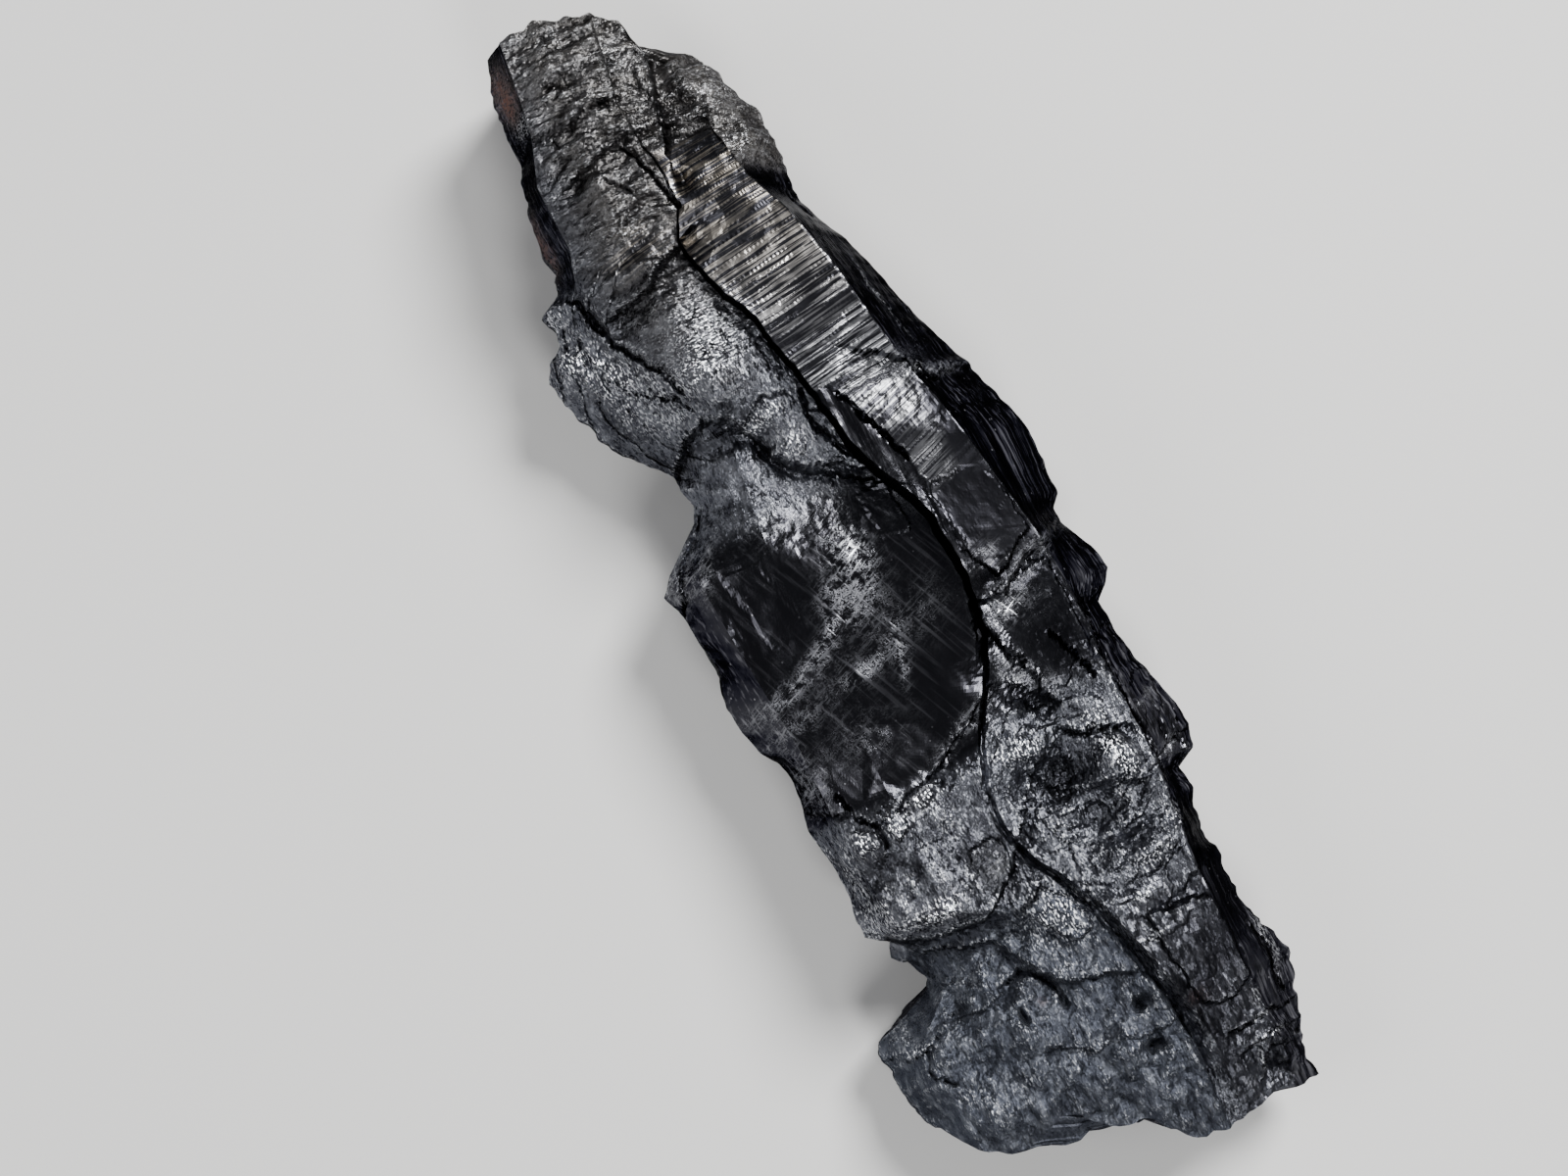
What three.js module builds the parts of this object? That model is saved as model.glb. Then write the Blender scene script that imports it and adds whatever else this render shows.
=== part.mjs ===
// A stibnite crystal, 52 mm long: a broken, bladed crystal that lies on its flat back cleavage face.
// Millimetres, +Z up. The crystal's length runs along Y, from its broad foot (-Y) to its tip (+Y).
// Its long edges are drawn as rails from foot to tip. The faces are stretched between neighbouring
// rails, then plates, ledges, cracks, lumps and broken grain are worked into the faces that look up.
import * as THREE from "three";

// Driving dimensions, in millimetres unless a name says otherwise.
const ROWS = 80; // steps from foot to tip
const WALL_STEPS = 4; // steps down each side wall
const BACK_STEPS = 6; // steps across the flat back
const CAP_RINGS = 3; // rings that close each broken end
const WALL_DRAW_IN = 0.2; // share of the half width by which the back is narrower than the front
const WALL_ROUGHNESS = 0.3; // how much that share wanders along a wall
const END_DRAW_IN = 0.03; // share of the half length by which the back is shorter than the front
const END_EDGE_REACH = 2.4; // how far the jagged line of an end edge is felt up the length
const END_LIFT = 0.7; // how far the two ends of the back are clear of the surface under them
const END_LIFT_REACH = 3.5;
const BACK_STEP_X = 3.1; // to the right of this line the back is one cleavage layer higher
const BACK_STEP_HEIGHT = 0.45;
const BACK_EDGE_HEIGHT = 1.5; // up to this height the walls share the lift of the back
const LIP_OFFSET = 0.4; // how far each lip of the seam is from the seam's bottom
const LEDGE_WALL = 0.5; // width of a ledge's wall, seen from above
const PLATE_EDGE = 0.35; // width of the step round a cleavage plate
const COARSE_GRAIN = 2.4; // size of the large broken facets, then of the small ones
const FINE_GRAIN = 1.4;
const GRAIN_HEIGHT = 1.5;
const SMOOTH_FACE_GRAIN = 0.08; // share of that height that is left on a smooth face
const CAP_GRAIN = 1.4;
const CAP_RELIEF = 0.55; // how rough the two broken ends are

// The outline seen from above: [y, x] from foot to tip.
const LEFT_RIM = [
  [-20.4, -8.6], [-19.4, -9.1], [-18.2, -9.3], [-17.2, -9.4], [-16.6, -9.6], [-16.15, -9.3],
  [-15.6, -7.6], [-15.2, -6.5], [-14.6, -6.3], [-13.8, -6.7], [-13.3, -7.2], [-12.6, -7.1],
  [-12.0, -7.9], [-11.2, -8.0], [-10.3, -7.75], [-9.0, -7.85], [-7.0, -8.1], [-6.0, -7.9],
  [-5.0, -7.8], [-4.0, -8.0], [-3.3, -8.5], [-2.2, -8.8], [-1.2, -8.9], [-0.2, -8.7],
  [0.5, -8.5], [1.8, -8.8], [3.2, -8.9], [4.1, -9.3], [4.8, -8.7], [5.8, -7.5],
  [6.4, -6.8], [7.1, -6.5], [7.9, -6.7], [8.5, -6.7], [9.9, -7.8], [11.1, -8.6],
  [12.1, -9.0], [13.1, -9.6], [14.2, -9.65], [15.0, -9.2], [15.4, -8.6], [16.1, -8.5],
  [16.8, -8.8], [17.3, -7.7], [18.2, -7.4], [19.5, -7.6], [21.1, -7.3], [22.1, -7.1],
  [22.7, -6.7], [24.2, -6.8], [26.0, -6.6], [27.2, -6.1],
];
const RIGHT_RIM = [
  [-25.15, 6.2], [-24.2, 6.1], [-23.5, 6.5], [-22.7, 6.85], [-22.0, 6.9], [-20.9, 7.4],
  [-20.0, 7.5], [-19.2, 7.4], [-18.1, 6.8], [-17.2, 6.65], [-16.0, 6.6], [-15.2, 6.65],
  [-14.0, 6.35], [-13.2, 6.6], [-12.3, 6.95], [-11.4, 6.85], [-10.9, 7.7], [-10.0, 7.95],
  [-8.8, 7.8], [-7.9, 7.6], [-6.6, 7.1], [-5.4, 6.95], [-3.8, 6.85], [-3.3, 7.4],
  [-2.7, 7.8], [-1.6, 7.6], [-0.2, 7.0], [0.5, 6.85], [1.0, 7.3], [1.5, 7.2],
  [2.5, 7.35], [3.8, 7.35], [5.2, 7.0], [7.2, 6.4], [9.0, 5.6], [10.8, 5.0],
  [11.9, 4.7], [13.0, 4.4], [14.2, 4.0], [15.2, 3.5], [16.4, 3.0], [17.6, 2.95],
  [19.2, 3.1], [20.5, 3.05], [21.3, 2.6], [22.8, 2.1], [23.4, 1.9],
];

// The crack that runs down the front between the left-hand and the right-hand blade: [y, x].
const SEAM = [
  [-25.2, 2.1], [-21.5, 2.2], [-18.7, 1.8], [-17.3, 1.5], [-15.0, 0.9], [-13.0, 0.05],
  [-12.2, -0.5], [-10.5, -1.1], [-8.5, -0.95], [-7.0, -0.4], [-5.0, 0.8], [-3.0, 1.7],
  [-0.6, 1.95], [1.6, 1.8], [3.0, 1.5], [4.0, 1.0], [5.0, 0.5], [6.2, 0.1],
  [7.8, -0.2], [9.2, -0.45], [10.6, -0.8], [12.4, -1.2], [13.6, -1.8], [15.2, -2.3],
  [16.3, -2.5], [17.6, -1.9], [18.9, -1.8], [21.0, -2.1], [22.6, -2.3], [26.6, -1.6],
];

// The two broken end edges seen from above: [x, y] from left to right.
const FOOT_EDGE = [
  [-8.6, -20.4], [-8.0, -21.2], [-7.2, -21.9], [-6.4, -22.4], [-5.6, -22.6], [-4.8, -22.3],
  [-4.0, -22.1], [-3.3, -22.3], [-2.8, -22.8], [-2.0, -23.3], [-1.2, -23.3], [-0.6, -23.7],
  [-0.1, -24.3], [0.6, -25.0], [2.0, -25.3], [3.4, -25.0], [5.0, -24.85], [5.2, -25.15],
  [6.2, -25.15],
];
const TIP_EDGE = [
  [-6.1, 27.2], [-5.5, 27.0], [-4.9, 27.1], [-4.3, 27.0], [-3.8, 27.15], [-3.1, 26.75],
  [-2.5, 26.8], [-2.0, 26.6], [-1.6, 26.75], [-1.0, 26.0], [-0.65, 25.8], [-0.5, 25.0],
  [-0.2, 24.0], [0.3, 23.85], [1.2, 23.85], [1.6, 23.75], [1.9, 23.4],
];

// The long edges, left to right. path is [y, x], height is [y, z] above the back face, and steps is
// how many strips the face between this rail and the next one is made of.
const RAILS = [
  {
    name: "left rim",
    path: LEFT_RIM,
    height: [
      [-20.4, 2.6], [-16.0, 3.0], [-12.4, 3.3], [-11.6, 4.2], [-8.0, 4.4], [0.0, 4.2], [4.0, 4.6],
      [8.0, 4.4], [9.4, 3.4], [12.0, 3.2], [15.0, 4.2], [18.0, 5.0], [22.0, 5.4], [27.2, 5.6],
    ],
    steps: 4,
  },
  {
    name: "left shoulder",
    path: [
      [-21.6, -7.4], [-17.0, -7.9], [-15.0, -5.5], [-12.5, -6.6], [-8.0, -7.0], [-4.0, -7.0],
      [0.0, -7.4], [4.0, -7.7], [6.4, -5.7], [8.4, -5.6], [11.0, -7.0], [14.0, -7.5],
      [16.4, -7.1], [18.3, -6.5], [21.0, -6.6], [23.0, -5.9], [25.0, -5.6], [27.05, -5.4],
    ],
    height: [
      [-21.6, 4.2], [-17.0, 4.9], [-13.2, 5.0], [-12.0, 6.5], [-8.0, 6.9], [0.0, 6.5], [4.0, 6.4],
      [8.2, 5.7], [9.4, 5.2], [11.0, 5.2], [14.0, 6.0], [18.0, 7.2], [23.0, 8.2], [27.05, 7.6],
    ],
    steps: 6,
  },
  {
    name: "left crest",
    path: [
      [-22.2, -4.4], [-17.0, -4.4], [-12.4, -4.6], [-6.0, -4.6], [0.0, -4.6], [4.0, -4.6],
      [8.8, -4.0], [12.0, -3.8], [16.0, -4.4], [20.0, -4.4], [24.0, -4.0], [27.1, -3.8],
    ],
    height: [
      [-22.2, 4.6], [-17.0, 5.9], [-13.3, 6.1], [-12.3, 7.6], [-8.0, 7.9], [-4.0, 7.2], [4.0, 7.1],
      [8.6, 7.2], [10.0, 8.6], [12.0, 9.0], [16.0, 8.6], [20.0, 9.0], [24.0, 8.9], [27.1, 7.7],
    ],
    steps: 7,
  },
  {
    name: "left lip of the seam",
    path: SEAM.map(([y, x]) => [y, x - LIP_OFFSET]),
    height: [
      [-25.2, 4.8], [-20.0, 5.9], [-16.0, 6.4], [-12.0, 7.0], [-8.0, 7.5], [-4.0, 7.4], [0.0, 7.6],
      [4.0, 7.4], [8.0, 8.1], [12.0, 8.5], [16.0, 8.7], [20.0, 9.1], [24.0, 8.9], [26.7, 7.9],
    ],
    steps: 1,
  },
  {
    name: "seam",
    path: SEAM,
    height: [
      [-25.2, 4.5], [-20.0, 5.0], [-16.0, 5.3], [-12.0, 5.8], [-9.0, 7.0], [-4.0, 7.3], [-2.4, 7.0],
      [-1.0, 6.4], [4.0, 6.5], [8.0, 6.8], [12.0, 7.1], [15.4, 7.3], [16.8, 8.6], [18.5, 8.2],
      [22.4, 8.4], [23.2, 9.0], [26.6, 7.9],
    ],
    steps: 1,
  },
  {
    name: "right lip of the seam",
    path: SEAM.map(([y, x]) => [y, x + LIP_OFFSET]),
    height: [
      [-25.1, 4.9], [-20.0, 6.5], [-16.0, 7.1], [-12.0, 7.4], [-8.0, 7.4], [-4.0, 7.7], [-1.6, 7.9],
      [0.0, 8.7], [4.0, 9.0], [8.0, 9.3], [12.0, 9.6], [16.0, 9.4], [20.0, 9.1], [26.5, 7.9],
    ],
    steps: 6,
  },
  {
    name: "ridge",
    path: [
      [-25.0, 5.2], [-22.0, 5.4], [-19.0, 5.3], [-15.0, 5.3], [-12.0, 5.6], [-10.0, 5.8],
      [-5.0, 5.8], [-1.0, 5.5], [1.0, 5.1], [4.0, 4.5], [6.5, 4.0], [8.4, 3.4],
      [10.0, 3.1], [13.0, 2.6], [15.6, 2.0], [17.6, 1.2], [20.0, 0.8], [23.9, 0.7],
    ],
    height: [
      [-25.0, 4.6], [-20.0, 6.1], [-16.0, 6.6], [-12.0, 6.8], [-8.0, 6.8], [-4.0, 7.2], [-1.4, 7.6],
      [0.0, 8.2], [4.0, 9.0], [8.0, 9.6], [12.0, 9.9], [16.0, 9.4], [20.0, 8.3], [23.9, 7.2],
    ],
    steps: 5,
  },
  {
    name: "right rim",
    path: RIGHT_RIM,
    height: [
      [-25.15, 3.4], [-20.0, 3.4], [-15.0, 3.8], [-10.0, 3.6], [-5.0, 4.0], [0.0, 4.0],
      [5.0, 4.4], [10.0, 4.6], [15.0, 4.8], [20.0, 5.0], [23.4, 5.0],
    ],
    steps: 0,
  },
];

// Ledges: the face drops on the right-hand side of someone who walks along the path, and climbs
// back to its old level over the fade length. Paths are [x, y].
const LEDGES = [
  {
    name: "end of the upper mass",
    drop: 1.2,
    fade: 3.6,
    path: [
      [-7.0, 8.5], [-5.7, 9.5], [-4.7, 9.7], [-3.6, 9.3], [-3.0, 8.3], [-2.7, 7.3], [-1.8, 6.2],
      [-0.9, 5.5],
    ],
  },
  {
    name: "shelf above the foot",
    drop: 1.6,
    fade: 6.0,
    path: [
      [-8.4, -12.2], [-6.9, -12.3], [-6.0, -12.9], [-5.0, -13.2], [-3.4, -13.2], [-2.6, -12.9],
      [-1.6, -12.0], [-0.9, -11.2],
    ],
  },
  {
    name: "end of the striated blade",
    drop: 1.1,
    fade: 3.4,
    path: [[1.9, -1.5], [3.0, -1.8], [3.6, -1.4], [4.4, -0.9], [5.6, -0.5], [7.4, 0.6]],
  },
  {
    name: "notch in the side face",
    drop: 0.8,
    fade: 3.0,
    path: [[3.2, 8.4], [4.1, 7.7], [4.7, 7.3], [5.3, 7.6], [6.6, 7.4]],
  },
  {
    name: "step in the foot",
    drop: 0.6,
    fade: 2.6,
    path: [[-4.4, -14.0], [-3.2, -14.2], [-2.7, -15.2], [-2.0, -16.3], [-1.2, -17.0], [-0.2, -17.3]],
  },
  {
    name: "side tabs",
    drop: 1.0,
    fade: 2.2,
    path: [[5.9, -11.3], [5.6, -8.0], [5.7, -4.2]],
  },
  {
    name: "block at the tip",
    drop: 0.9,
    fade: 2.6,
    path: [[-1.0, 21.1], [-0.7, 22.8], [-0.2, 24.2]],
  },
  {
    name: "crease in the upper mass",
    drop: 0.7,
    fade: 1.5,
    path: [[-5.6, 15.2], [-4.4, 15.4], [-3.6, 15.9], [-2.6, 16.3]],
  },
  {
    name: "crease near the tip",
    drop: 0.5,
    fade: 1.4,
    path: [[-5.0, 20.7], [-3.4, 21.1], [-2.4, 21.3], [-1.2, 21.2]],
  },
];

// Side cracks: V grooves along a path of [x, y].
const CRACKS = [
  {
    name: "crack beside the seam",
    width: 0.6,
    depth: 1.1,
    path: [[0.6, 8.2], [1.0, 7.0], [1.5, 6.2], [1.9, 4.6]],
  },
  {
    name: "valley of the swirl",
    width: 0.8,
    depth: 1.0,
    path: [[1.6, -4.0], [2.4, -5.6], [3.4, -6.8], [4.4, -7.4]],
  },
  {
    name: "crack behind the flap",
    width: 0.6,
    depth: 0.9,
    path: [[-7.7, 17.2], [-7.1, 16.2], [-6.8, 15.0], [-6.2, 13.4], [-5.3, 12.2], [-4.9, 11.0]],
  },
];

// Cleavage plates: flat layers with a crisp edge. tilt is the slope along x and along y, and the
// outline is [x, y], clockwise.
const PLATES = [
  {
    name: "upper left plate",
    rise: 0.3,
    tilt: [-0.05, 0.02],
    outline: [[-8.0, 5.2], [-3.2, 4.4], [-2.9, 1.0], [-3.8, -0.9], [-8.3, -2.6], [-8.4, 1.0]],
  },
  {
    name: "lower left plate",
    rise: 0.2,
    tilt: [0.03, -0.05],
    outline: [[-8.0, -3.8], [-3.2, -1.8], [-2.9, -4.0], [-2.8, -6.6], [-5.0, -7.2], [-7.6, -6.2]],
  },
  {
    name: "lens",
    rise: 0.45,
    tilt: [0.16, 0.0],
    outline: [[-3.0, -2.0], [-2.0, -1.9], [-0.9, -3.0], [0.0, -5.6], [-1.2, -5.4], [-2.4, -4.2]],
  },
  {
    name: "middle plate",
    rise: 0.25,
    tilt: [0.06, -0.03],
    outline: [[-2.6, 2.6], [0.4, 3.0], [1.3, 0.6], [1.3, -2.2], [0.4, -3.9], [-0.7, -2.4]],
  },
  {
    name: "facet above the foot",
    rise: 0.5,
    tilt: [-0.1, -0.12],
    outline: [[-1.9, -13.7], [-0.6, -13.1], [0.3, -14.0], [0.6, -15.5], [-0.5, -15.7]],
  },
  {
    name: "foot column",
    rise: 0.35,
    tilt: [0.05, 0.05],
    outline: [[2.5, -15.8], [5.4, -16.2], [5.5, -20.0], [4.3, -20.6], [3.0, -20.2]],
  },
];

// Lumps and hollows: [x, y, half length along x, half length along y, height].
const LUMPS = [
  [-3.8, 12.3, 2.0, 2.2, 0.7], [-4.9, 16.2, 1.6, 0.8, 0.4], [-3.9, 18.7, 1.8, 1.0, 0.4],
  [-4.0, 25.0, 1.4, 1.0, 0.4], [-8.7, 14.0, 0.9, 1.3, 0.6], [-8.0, 16.4, 0.7, 0.7, 0.4],
  [1.2, 21.9, 1.1, 1.0, 0.5], [1.8, 19.3, 0.9, 1.0, 0.5], [0.9, -7.7, 0.9, 0.7, 0.6],
  [2.0, -9.4, 1.2, 0.9, -0.9], [3.2, -11.4, 1.3, 0.6, -0.7], [4.3, -9.8, 0.8, 0.9, 0.6],
  [1.1, -11.9, 1.1, 0.8, 0.5], [3.7, -13.5, 1.5, 0.7, 0.8], [-5.6, -8.4, 1.3, 0.9, 0.5],
  [-6.6, -11.0, 1.1, 1.1, 0.4], [-7.7, -18.8, 1.3, 1.6, 0.5], [-5.6, -20.5, 1.5, 1.1, 0.5],
  [-3.4, -18.4, 1.3, 1.1, 0.4], [-0.6, -20.6, 1.2, 1.0, 0.5], [5.5, -23.5, 0.7, 1.0, 0.5],
  [2.5, -1.3, 0.7, 0.7, -0.8], [-8.0, 1.0, 0.8, 2.0, 0.3], [-3.0, 7.7, 0.5, 0.6, -0.9],
];

// Where the crystal is broken and granular: [x, y, half length along x, half length along y, share].
// Elsewhere its faces are smooth cleavage.
const GRANULAR = [
  [-4.2, 22.0, 3.0, 6.0, 0.5], [1.6, 20.8, 1.8, 3.4, 0.6], [-7.8, 15.0, 2.2, 3.4, 0.6],
  [-5.6, -9.8, 3.6, 2.6, 0.7], [-4.6, -18.6, 6.4, 4.6, 0.9], [3.0, -11.0, 3.4, 4.0, 0.8],
  [3.6, -22.6, 3.6, 3.0, 0.7], [-2.2, 7.6, 2.4, 2.4, 0.3],
];

// The value at position t of a list of [position, value] knots, on straight lines between them.
function valueAt(knots, t) {
  if (t <= knots[0][0]) return knots[0][1];
  for (let i = 1; i < knots.length; i++) {
    const [t0, v0] = knots[i - 1];
    const [t1, v1] = knots[i];
    if (t <= t1) return v0 + ((v1 - v0) * (t - t0)) / (t1 - t0);
  }
  return knots[knots.length - 1][1];
}

function mix(a, b, t) {
  return a + (b - a) * t;
}

function smoothStep(t) {
  const c = Math.min(1, Math.max(0, t));
  return c * c * (3 - 2 * c);
}

// A repeatable number from -1 to 1 for each corner of a square lattice.
function latticeValue(i, j, seed) {
  const s = Math.sin(i * 127.1 + j * 311.7 + seed * 74.7) * 43758.5453;
  return 2 * (s - Math.floor(s)) - 1;
}

// Smooth noise from -1 to 1: lattice values blended over each square.
function softNoise(x, y, seed) {
  const i = Math.floor(x);
  const j = Math.floor(y);
  const u = smoothStep(x - i);
  const v = smoothStep(y - j);
  const low = mix(latticeValue(i, j, seed), latticeValue(i + 1, j, seed), u);
  const high = mix(latticeValue(i, j + 1, seed), latticeValue(i + 1, j + 1, seed), u);
  return mix(low, high, v);
}

// Broken facets, about -0.5 to 0.5: the highest of the flat-sided pyramids that stand near (x, y),
// one to a lattice square, each with its own place, turn and height.
function brokenFacets(x, y, seed) {
  const i0 = Math.floor(x);
  const j0 = Math.floor(y);
  let top = -1;
  for (let i = i0 - 1; i <= i0 + 1; i++) {
    for (let j = j0 - 1; j <= j0 + 1; j++) {
      const dx = x - i - 0.5 - 0.4 * latticeValue(i, j, seed);
      const dy = y - j - 0.5 - 0.4 * latticeValue(i, j, seed + 1);
      const turn = Math.PI * latticeValue(i, j, seed + 2);
      const along = Math.abs(dx * Math.cos(turn) + dy * Math.sin(turn));
      const across = Math.abs(dy * Math.cos(turn) - dx * Math.sin(turn));
      const peak = 0.5 + 0.35 * latticeValue(i, j, seed + 3);
      top = Math.max(top, peak - Math.max(1.1 * along, 0.8 * across));
    }
  }
  return top - 0.1;
}

// The distance from (x, y) to a path of [x, y], counted as positive on the path's right-hand side.
function sideDistance(path, x, y) {
  let nearest = Infinity;
  for (let i = 1; i < path.length; i++) {
    const [x0, y0] = path[i - 1];
    const dx = path[i][0] - x0;
    const dy = path[i][1] - y0;
    const t = Math.min(1, Math.max(0, ((x - x0) * dx + (y - y0) * dy) / (dx * dx + dy * dy)));
    const distance = Math.hypot(x - x0 - t * dx, y - y0 - t * dy);
    const side = (x - x0) * dy - (y - y0) * dx >= 0 ? 1 : -1;
    if (distance < Math.abs(nearest)) nearest = side * distance;
  }
  return nearest;
}

// A round bell: 1 in the middle, near 0 at one and a half half-lengths.
function bell(x, y, [cx, cy, halfX, halfY]) {
  return Math.exp(-(((x - cx) / halfX) ** 2) - ((y - cy) / halfY) ** 2);
}

// The height that a ledge takes away at (x, y).
function ledgeDrop({ path, drop, fade }, x, y) {
  const distance = sideDistance(path, x, y);
  return drop * smoothStep(distance / LEDGE_WALL) * (1 - smoothStep(distance / fade));
}

// How far (x, y) is inside a plate's outline: the smallest distance to the line of any edge.
function insideDistance(outline, x, y) {
  const distances = outline.map(([x0, y0], i) => {
    const [x1, y1] = outline[(i + 1) % outline.length];
    return ((x - x0) * (y1 - y0) - (y - y0) * (x1 - x0)) / Math.hypot(x1 - x0, y1 - y0);
  });
  return Math.min(...distances);
}

// The height that a plate adds at (x, y).
function plateRise({ outline, rise, tilt }, x, y) {
  const inside = smoothStep(insideDistance(outline, x, y) / PLATE_EDGE);
  const middleX = outline.reduce((sum, p) => sum + p[0], 0) / outline.length;
  const middleY = outline.reduce((sum, p) => sum + p[1], 0) / outline.length;
  return inside * (rise + tilt[0] * (x - middleX) + tilt[1] * (y - middleY));
}

// How far the worked face at (x, y) stands above or below the plain face between its rails.
function relief(x, y) {
  let z = 0;
  for (const lump of LUMPS) z += lump[4] * bell(x, y, lump);
  for (const ledge of LEDGES) z -= ledgeDrop(ledge, x, y);
  for (const plate of PLATES) z += plateRise(plate, x, y);
  for (const { path, width, depth } of CRACKS) {
    z -= depth * Math.max(0, 1 - Math.abs(sideDistance(path, x, y)) / width);
  }
  let share = SMOOTH_FACE_GRAIN;
  for (const zone of GRANULAR) share += zone[4] * bell(x, y, zone);
  const coarse = brokenFacets(x / COARSE_GRAIN, y / COARSE_GRAIN, 1);
  const fine = brokenFacets(x / FINE_GRAIN, y / FINE_GRAIN, 11);
  return z + GRAIN_HEIGHT * Math.min(1, share) * (0.65 * coarse + 0.35 * fine);
}

// Where a rail is at share s of the way from foot to tip.
function railAt(rail, s) {
  const y = mix(rail.path[0][0], rail.path[rail.path.length - 1][0], s);
  return { x: valueAt(rail.path, y), y, z: valueAt(rail.height, y) };
}

// A point of a side wall, at share k of the way down from its rim to the back.
function wallPoint(rim, middle, k) {
  const wander = WALL_ROUGHNESS * softNoise(rim.y / 2.3, 1.7 * k, rim.x > 0 ? 5 : 6);
  const drawn = smoothStep(k) + wander * Math.sin(Math.PI * k);
  return {
    x: mix(rim.x, middle.x, WALL_DRAW_IN * drawn),
    y: mix(rim.y, middle.y, END_DRAW_IN * drawn),
    z: mix(rim.z, 0, k),
  };
}

// One plain section round the crystal, from the left rim over the front, down the right wall,
// across the back and up the left wall.
function plainSection(s) {
  const rails = RAILS.map((rail) => railAt(rail, s));
  const points = [];
  for (let k = 0; k + 1 < rails.length; k++) {
    for (let i = 0; i < RAILS[k].steps; i++) {
      const t = i / RAILS[k].steps;
      points.push({
        x: mix(rails[k].x, rails[k + 1].x, t),
        y: mix(rails[k].y, rails[k + 1].y, t),
        z: mix(rails[k].z, rails[k + 1].z, t),
        onFront: true,
      });
    }
  }
  const left = rails[0];
  const right = rails[rails.length - 1];
  const middle = { x: (left.x + right.x) / 2, y: (TIP_EDGE[0][1] + FOOT_EDGE[0][1]) / 2 };
  points.push({ ...right, onFront: true });
  for (let i = 1; i <= WALL_STEPS; i++) points.push(wallPoint(right, middle, i / WALL_STEPS));
  const backRight = wallPoint(right, middle, 1);
  const backLeft = wallPoint(left, middle, 1);
  for (let i = 1; i <= BACK_STEPS; i++) {
    const t = i / BACK_STEPS;
    points.push({ x: mix(backRight.x, backLeft.x, t), y: mix(backRight.y, backLeft.y, t), z: 0 });
  }
  for (let i = WALL_STEPS - 1; i >= 1; i--) points.push(wallPoint(left, middle, i / WALL_STEPS));
  return points;
}

// How far the jagged line of a broken end moves a point along Y: end is where the point's own
// strip ends, and distance is how far along the strip the point is from there.
function endShift(edge, end, distance) {
  return (valueAt(edge, end.x) - end.y) * (1 - smoothStep(distance / END_EDGE_REACH));
}

// All the sections from foot to tip, with the broken end edges and the relief worked in.
function workedSections() {
  const foot = plainSection(0);
  const tip = plainSection(1);
  const sections = [];
  for (let j = 0; j <= ROWS; j++) {
    const section = plainSection(j / ROWS).map((p, i) => {
      const fromFoot = p.y - foot[i].y;
      const fromTip = tip[i].y - p.y;
      const y = p.y + endShift(FOOT_EDGE, foot[i], fromFoot) + endShift(TIP_EDGE, tip[i], fromTip);
      if (p.onFront) return { x: p.x, y, z: p.z + relief(p.x, y) };
      const endLift = END_LIFT * (1 - smoothStep(Math.min(fromFoot, fromTip) / END_LIFT_REACH));
      const lift = endLift + (p.x > BACK_STEP_X ? BACK_STEP_HEIGHT : 0);
      return { x: p.x, y, z: p.z + lift * Math.max(0, 1 - p.z / BACK_EDGE_HEIGHT) };
    });
    sections.push(section);
  }
  return sections;
}

// Rings that shrink from an end section to its middle, as the broken face of that end.
function capRings(loop, outward) {
  const centre = { x: 0, y: 0, z: 0 };
  for (const p of loop) {
    centre.x += p.x / loop.length;
    centre.y += p.y / loop.length;
    centre.z += p.z / loop.length;
  }
  const rings = [];
  for (let r = 1; r <= CAP_RINGS; r++) {
    const t = r / (CAP_RINGS + 1);
    const ring = loop.map((p) => {
      const x = mix(p.x, centre.x, t);
      const z = mix(p.z, centre.z, t);
      const rough = CAP_RELIEF * softNoise(x / CAP_GRAIN, z / CAP_GRAIN, 9) * Math.min(1, 2 * t);
      return { x, y: mix(p.y, centre.y, t) + outward * rough, z };
    });
    rings.push(ring);
  }
  return { rings, centre };
}

// The closed surface: all sections from foot to tip, and the two broken ends.
function crystalGeometry() {
  const sections = workedSections();
  const foot = capRings(sections[0], -1);
  const tip = capRings(sections[ROWS], 1);
  const loops = [...foot.rings.reverse(), ...sections, ...tip.rings];
  const around = sections[0].length;
  const vertices = [...loops.flat(), foot.centre, tip.centre];
  const footPole = loops.length * around;
  const tipPole = footPole + 1;
  const lastLoop = footPole - around;
  const faces = [];
  for (let i = 0; i < around; i++) {
    const next = (i + 1) % around;
    for (let start = 0; start < lastLoop; start += around) {
      const a = start + i;
      const b = start + next;
      faces.push(a, b, b + around, a, b + around, a + around);
    }
    faces.push(footPole, next, i);
    faces.push(tipPole, lastLoop + i, lastLoop + next);
  }
  const geometry = new THREE.BufferGeometry();
  const flat = new Float32Array(vertices.flatMap((p) => [p.x, p.y, p.z]));
  geometry.setAttribute("position", new THREE.BufferAttribute(flat, 3));
  geometry.setIndex(faces);
  return geometry;
}

// Puts the origin under the middle of the crystal, on the surface that it lies on.
function onItsBack(geometry) {
  geometry.computeBoundingBox();
  const { min, max } = geometry.boundingBox;
  geometry.translate(-(min.x + max.x) / 2, -(min.y + max.y) / 2, -min.z);
  geometry.computeVertexNormals();
  return geometry;
}

const leadGrey = new THREE.MeshStandardMaterial({
  color: 0x54575c,
  roughness: 0.38,
  metalness: 0.9,
  flatShading: true,
});

const crystal = new THREE.Mesh(onItsBack(crystalGeometry()), leadGrey);
crystal.name = "crystal";

const specimen = new THREE.Group();
specimen.add(crystal);

export default specimen;
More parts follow.
